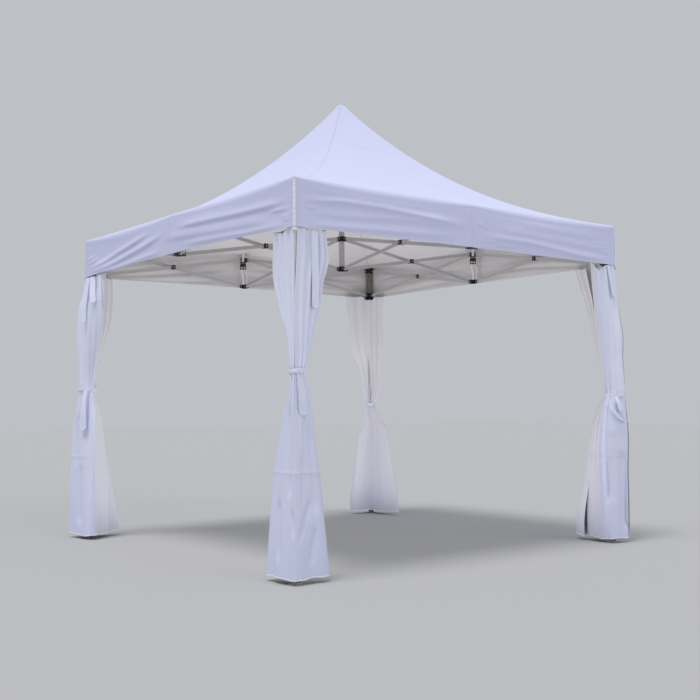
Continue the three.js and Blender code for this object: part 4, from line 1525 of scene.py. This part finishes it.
def true_heights(s, z, corner, side, top, seed):
    """The heights of a panel's points, with the top's scallops and the ragged hem."""
    above, below = tie_shares(z, corner)
    near_slider = smooth_step((SLIDER_REACH - top[:, 0]) / 0.03)
    lowered = (CURTAIN_TOP - CURTAIN_INNER_TOP) * smooth_step((s - TOP_FAR_FOLD) / 0.05) * near_slider
    scallops = SCALLOP_DEPTH * np.abs(np.sin(np.pi * s * 5)) + 0.004 * np.sin(9 * s + seed)
    if (corner, side) in TOP_DIPS:
        near, lowest, far, deep = TOP_DIPS[corner, side]
        place = np.where(s < TOP_FAR_FOLD, top[:, 0], 0)
        scallops = scallops + deep * smooth_step(np.interp(place, [near, lowest, far], [0, 1, 0]))
    ragged = HEM_RAGGED * np.sin(11 * s + seed) + 0.002 * np.sin(29 * s)
    at_top = smooth_step((above - 0.75) / 0.25)
    return z - (lowered + scallops) * at_top + (HEM_RAGGED + ragged) * below ** 6


print("top edges with a deep scallop:", len(TOP_DIPS))

# %% A whole panel
def panel_point_grid(s, heights, corner, side, arm, seed):
    """Places of a panel's cloth in its corner's own frame: along the side, in from the face, and up."""
    hidden = RETURN_SHARE if arm == 0 else 0.0
    z = heights[:, None]
    fold, crest, fine = panel_folds(s, z, corner, side, hidden, seed)
    open_a, open_b, top = open_shape(s, z, corner, side, arm, fold)
    tie_a, tie_b = tied_shape(s, z, corner, arm, hidden, crest, fine)

    above, below = tie_shares(z, corner)
    upper = z >= TIES[corner][0]
    openness = np.where(upper, smooth_curve(OPEN_UP, above), smooth_curve(OPEN_DOWN, below))
    a = tie_a + (open_a - tie_a) * openness
    b = tie_b + (open_b - tie_b) * openness
    stretch = smooth_curve(REACH[corner, side], z) / a.max(axis=1, keepdims=True)
    a = np.where(a > 0, a * stretch, a)
    height = true_heights(s, z, corner, side, top, seed)
    return a, b, np.broadcast_to(height, a.shape)


def placed_at_corner(a, b, z, arm, k):
    """From a corner's own frame to the tent's. Arm 0 lies on side k of the tent and arm 1 on the next."""
    if arm == 0:
        points = np.stack([FACE - a, -FACE + b, z], axis=-1)
    else:
        points = np.stack([FACE - b, -FACE + a, z], axis=-1)
    return quarter_turned(points, k)


print("the front right corner's outer edge:", placed_at_corner(0.0, 0.0, 1.0, 0, 0))

# %% [markdown]
# ### The eight panels
# Each panel gets thickness, finishes for its outer and inner face, and a bright hem that is a painted
# highlight. When the frame closes, it goes with its leg.


def at_corner(piece, k):
    """A curtain's piece goes with its leg."""
    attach(piece, f"leg_{CORNERS[k]}")
    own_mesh(piece)


# %% Curtain panels
COLUMNS = 121
CURTAIN_THICKNESS = 0.0010
EDGE_STITCH = 0.010           # the stitched line inside a panel's upright edges
FIRST_SEED = 11
# Finishes after the outer and the inner one: faces inside the far fold are 1 and the hem's edge is 3, a
# painted highlight, and the thickness adds 1 for the face behind and 3 for the cut edge, which gets the
# painted highlight too.
MORE_FINISHES = [curtain_inside, curtain_highlight_and_tape, curtain_highlight_and_tape]
HEM_HIGHLIGHT_FINISH = 3

s = np.linspace(0, 1, COLUMNS)
for k, corner in enumerate(CORNERS):
    heights = panel_rows(TIES[corner][0])
    for arm in (0, 1):
        side = SIDES[(k + arm) % 4]
        a, b, z = panel_point_grid(s, heights, corner, side, arm, 10 * k + arm + FIRST_SEED)
        points = placed_at_corner(a, b, z, arm, k)
        steps = [np.linalg.norm(np.diff(row, axis=0), axis=1) for row in (points[0], points[-1])]
        flat_width = round(min(float(along.sum()) for along in steps), 3)
        cut = np.stack(np.broadcast_arrays(flat_width * s, heights[:, None]), axis=-1)
        edge = flat_width * np.minimum(s, 1 - s)
        seam = np.minimum(np.abs(edge - EDGE_STITCH), np.abs(heights[:, None] - CURTAIN_HEM - HEM_STITCH))
        seam = np.minimum(seam, np.abs(heights[:, None] - CROSS_SEAM_HEIGHT))
        name = f"curtain_{corner}_{side}"
        mesh = grid_mesh(name, points, cut, seam, flip=(arm == 0))
        panel = cloth_piece(name, mesh, curtain_outside, curtain_inside, CURTAIN_THICKNESS)
        panel.modifiers["thickness"].material_offset_rim = HEM_HIGHLIGHT_FINISH
        for material in MORE_FINISHES:
            mesh.materials.append(material)
        row_of, column_of = np.divmod(np.arange(len(mesh.polygons)), COLUMNS - 1)
        # The hem's lowest band gets the painted highlight.
        hem_highlighted = heights[row_of + 1] <= CURTAIN_HEM + HEM_EDGE + 1e-4
        indices = np.where(hem_highlighted, HEM_HIGHLIGHT_FINISH, np.where(s[column_of] > FAR_FOLD, 1, 0))
        mesh.polygons.foreach_set("material_index", indices.astype(np.int32))
        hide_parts(f"curtain_{corner}")
        length = CURTAIN_TOP - CURTAIN_HEM
        at_corner(panel, k)
        share = area_of(points) / (flat_width * length)
        print(f"{name}: cut {flat_width:.3f} m wide, {share:.2f} of its flat area")

# %% [markdown]
# ### Ties
# A band of the same cloth pulls each curtain in round its leg. It could be a plain ring, but a pulled
# band is never even: it is a closed strip with small lengthwise wrinkles, narrower where it bends
# sharply.

# %% Ties
TIE_THICKNESS = 0.0012
BAND_HEIGHT = 0.032
BAND_LIFT = -0.0020           # from the ring of the gathered cloth, which bulges beside it
BAND_POINTS = 49
BAND_ROWS = 9
BAND_CROWN = 0.0016           # its middle stands out
BAND_WRINKLE = 0.0010
BAND_BUMP = 0.0012
BAND_NARROWS = 0.22


def band(corner, k):
    """The tie band: a closed strip round the gathered waist, wrinkled lengthwise."""
    tie, ring, bunch = TIES[corner]
    angle = np.linspace(0, 2 * np.pi, BAND_POINTS)
    towards_corner = np.clip(np.cos(angle - np.radians(CORNER_ANGLE)), 0, 1)
    radius = ring + bunch * towards_corner ** 2 + BAND_LIFT
    rows = np.linspace(-0.5, 0.5, BAND_ROWS)[:, None]
    wrinkles = BAND_WRINKLE * np.sin(26 * rows + 4 * np.sin(3 * angle + k))
    r = radius + BAND_CROWN * np.cos(np.pi * rows) + wrinkles + BAND_BUMP * np.sin(7 * angle + k)
    shrink = 1 - BAND_NARROWS * np.sin(angle - np.radians(100)) ** 2
    a = AXIS + r * np.cos(angle)
    b = AXIS + r * np.sin(angle)
    z = tie + BAND_HEIGHT * rows * shrink + 0.004 * np.sin(angle - np.pi)
    points = placed_at_corner(a, b, z, 1, k)
    cut = np.stack(np.broadcast_arrays(radius.mean() * angle, z), axis=-1)
    return points[::-1], cut[::-1]


def curtain_trim(piece, corner):
    """A tie or tongue belongs to its corner's curtain."""
    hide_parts(f"curtain_{corner}")
    tie_pieces[corner].append(piece)


tie_pieces = {corner: [] for corner in CORNERS}
for k, corner in enumerate(CORNERS):
    mesh = strips_mesh(f"tie_{corner}", [band(corner, k)])
    weld(mesh)
    piece = cloth_piece(f"tie_{corner}", mesh, curtain_outside, curtain_outside, TIE_THICKNESS)
    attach(piece, f"leg_{corner}")
    curtain_trim(piece, corner)
print("ties:", len(CORNERS))

# %% [markdown]
# ### Loose ends
# The end of each tie hangs down in a tongue. Longer tongues hang from the header, which are the loops
# that the curtains are hung from, left long. Each is one strip along a smooth path with its end cut
# round, laid just in front of the folds.

# %% Where the tongues hang
# Each tongue: corner, arm, its path as (along the side, in from the face, height), its width at the top
# and at the bottom, and the direction of its width in the same three terms.
FLAT = (1, 0, 0)
TURNED = (.79, .61, 0)
TONGUES = [
    ("front_left", 1, [(.147, -.001, 2.10), (.147, -.003, 1.95), (.148, -.005, 1.78), (.147, -.003, 1.630)],
     .050, .050, FLAT),
    ("front_left", 1, [(.034, .003, 1.240), (.042, -.001, 1.17), (.052, -.004, 1.08), (.058, -.002, 0.99)],
     .040, .070, FLAT),
    ("back_left", 1, [(.150, -.006, 2.10), (.165, -.014, 2.04), (.190, -.026, 1.96), (.215, -.030, 1.885)],
     .050, .054, TURNED),
    ("back_left", 1, [(.275, -.004, 2.10), (.290, -.008, 2.03), (.303, -.012, 1.96), (.312, -.014, 1.895)],
     .020, .024, TURNED),
    ("back_left", 1, [(.063, -.010, 2.10), (.070, -.032, 1.98), (.080, -.052, 1.86), (.088, -.058, 1.735)],
     .038, .046, TURNED),
    ("back_left", 1, [(.055, -.022, 1.185), (.068, -.040, 1.10), (.080, -.052, .98), (.088, -.056, .865)],
     .030, .080, (.92, .39, 0)),
    ("front_right", 0, [(.085, -.006, 2.10), (.072, -.012, 2.02), (.055, -.018, 1.93), (.044, -.022, 1.855)],
     .034, .034, FLAT),
    ("front_right", 0, [(.060, -.034, 1.10), (.056, -.052, 1.06), (.046, -.060, 1.02), (.040, -.064, .985)],
     .040, .060, FLAT),
    ("front_right", 0, [(.108, -.014, 1.045), (.097, -.038, 1.00), (.070, -.056, .960),
                        (.020, -.064, .930), (-.030, -.064, .915)], .018, .026, (-.5, 0, .87)),
]
print("tongues:", len(TONGUES))

# %% Tongues
TONGUE_POINTS = 70
TONGUE_COLUMNS = 7
TONGUE_CUP = 0.003
ROUND_SHARE = 0.6             # the length of the round end, as a share of its width

for number, (corner, arm, corners_of_path, first_width, last_width, across) in enumerate(TONGUES):
    k = CORNERS.index(corner)
    path = smooth_path(corners_of_path, TONGUE_POINTS)
    length = float(np.linalg.norm(np.diff(path, axis=0), axis=1).sum())
    local = placed_at_corner(path[:, 0], path[:, 1], path[:, 2], arm, k)
    two_ends = np.array([(0, 0, 0), across], float)
    base, tip = placed_at_corner(two_ends[:, 0], two_ends[:, 1], two_ends[:, 2], arm, k)
    widths = round_end(TONGUE_POINTS, last_width * ROUND_SHARE, length)
    widths = widths * np.linspace(first_width, last_width, TONGUE_POINTS)
    points, cut = strip(local, tip - base, widths, cup=TONGUE_CUP, columns=TONGUE_COLUMNS)
    cut[..., 1] = points[..., 2]
    name = f"tongue_{number}_{corner}"
    piece = cloth_piece(name, strips_mesh(name, [(points, cut)]), curtain_outside, curtain_outside,
                        TIE_THICKNESS)
    # The tongue's cut edge gets the painted highlight.
    piece.data.materials.append(curtain_highlight_and_tape)
    piece.modifiers["thickness"].material_offset_rim = 2
    at_corner(piece, k)
    curtain_trim(piece, corner)
    print(f"{name}: {length:.2f} m long")

# %% [markdown]
# ### Corner bindings
# A white tape binds the valance's corner seam. It is a strip folded round the corner, and so narrow that
# only its bright line shows from afar; a slight waviness keeps that line from looking drawn with a ruler.

# %% Corner bindings
BINDING_HALF = 0.009          # the tape's width on each side of the corner
BINDING_OUT = 0.0012
BINDING_THICKNESS = 0.0010
BINDING_ROWS = 40
BINDING_START = 1.4           # below the eave, as a share of the roll's radius at a corner
# Across the tape: how far each column lies in from the right side and from the front side.
FROM_RIGHT = [BINDING_HALF, .0035, .0005, -BINDING_OUT, -BINDING_OUT, -BINDING_OUT]
FROM_FRONT = FROM_RIGHT[::-1]

for k, corner in enumerate(CORNERS):
    down = np.linspace(EAVE - ROLL_SHARP * BINDING_START, EAVE - HEM_BELOW - 0.001, BINDING_ROWS)[:, None]
    wobble = 0.0006 * np.sin(down * 190) + 0.0004 * np.sin(down * 77)
    grid_x = HALF - np.array(FROM_RIGHT) + wobble
    grid_y = -HALF + np.array(FROM_FRONT) - wobble
    points = quarter_turned(np.stack([grid_x, grid_y, np.broadcast_to(down, grid_x.shape)], axis=-1), k)
    cut = np.stack(np.broadcast_arrays(np.linspace(0, 2 * BINDING_HALF, len(FROM_RIGHT)), down), axis=-1)
    mesh = strips_mesh(f"binding_{corner}", [(points, cut)])
    piece = cloth_piece(f"binding_{corner}", mesh, curtain_highlight_and_tape, curtain_highlight_and_tape, BINDING_THICKNESS)
    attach(piece, f"leg_{corner}")
print(f"bindings: {len(CORNERS)}, each {float(down[0, 0] - down[-1, 0]):.3f} m long")

# %% [markdown]
# ### Corner caps
# Below the tape a domed cap of white plastic holds the curtains' header to the corner. It is turned from
# a profile, as the rivets are, and stands out as far as the gathered cloth does.

# %% Corner caps
CAP_HEIGHT = 2.092
CAP_SINK = 0.004
CAP = [(0, 0), (.0165, 0), (.0168, .0025), (.0150, .0042), (.0132, .0046), (.0120, .0062),
       (.0085, .0092), (.0040, .0108), (0, .0112)]

for k, corner in enumerate(CORNERS):
    work = bmesh.new()
    outward = Vector(quarter_turned([1, -1, 0], k)).normalized()
    stands = float(smooth_curve(CORNER_OUT[corner], np.array([CAP_HEIGHT]))[0]) * math.sqrt(2)
    foot = Vector(quarter_turned([FACE, -FACE, CAP_HEIGHT], k)) + outward * (stands - CAP_SINK)
    add_turned(work, foot, outward, CAP)
    hard_piece(f"cap_{corner}", work, [white_plastic], f"leg_{corner}")
print("caps:", len(CORNERS))

# %% [markdown]
# ### Straps of the buckles
# The webbing is woven tape 20 mm wide. The strap above a buckle goes with the upper bracket. The two
# below it are let go before the tent folds, so they ride on the lower bracket.

# %% Strap helper
WEBBING_THICKNESS = 0.0014

webbing = cloth("webbing", light=(0.84, 0.83, 0.84), dark=(0.76, 0.75, 0.77), seam_tone=(0.7, 0.7, 0.7),
                roughness=0.6, crumple=0.001)


def webbing_strip(place, corners_of_path, width, count):
    """A flat tape along a path given in a buckle's own frame."""
    path = [list(place @ Vector(point)) for point in smooth_path(corners_of_path, count)]
    across = list(place.to_3x3() @ Vector((1, 0, 0)))
    return strip(path, across, width)


def webbing_piece(name, strips, body):
    """One piece of several tapes, riding on a body."""
    piece = cloth_piece(name, strips_mesh(name, strips), webbing, webbing, WEBBING_THICKNESS)
    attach(piece, body)
    return piece


print("webbing", WEBBING_THICKNESS, "m thick")

# %% Straps above and below the buckles
STRAP_WIDTH = 0.020
ROOF_AT_STRAP = float(roof_height((LEG_AT - BUCKLE_OUT) / HALF)) - 0.004
STRAP_POINTS = 20
# The two straps below a buckle, across, out and up from it, and their widths: one taut, one hanging slack.
BRACES = [
    ([(.014, .000, -.084), (.012, -.004, -.11), (.006, -.010, -.15), (.001, -.014, -.19)], .018),
    ([(-.012, .000, -.084), (-.022, -.002, -.11), (-.032, -.006, -.14), (-.026, -.012, -.19)], .009),
]
BRACE_POINTS = 24
BRACE_END = 0.014             # above the lower bracket's pivots

for k, side in enumerate(SIDES):
    place = buckle_frame(side, k)
    base = place.translation.z
    upper = [(0, -.012, ROOF_AT_STRAP - base), (0, -.004, .010), (0, .001, -.012), (0, .003, -.026)]
    above = webbing_strip(place, upper, STRAP_WIDTH, STRAP_POINTS)
    webbing_piece(f"strap_{side}", [above], f"upper_bracket_{side}")
    bottom = BRACKET_LOW_HEIGHT + BRACE_END - base
    braces = []
    for route, width in BRACES:
        corners_of_path = [*route, (route[-1][0], route[-1][1], bottom)]
        braces.append(webbing_strip(place, corners_of_path, width, BRACE_POINTS))
    piece = webbing_piece(f"braces_{side}", braces, f"lower_bracket_{side}")
    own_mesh(piece)
print("straps:", 3 * len(SIDES))
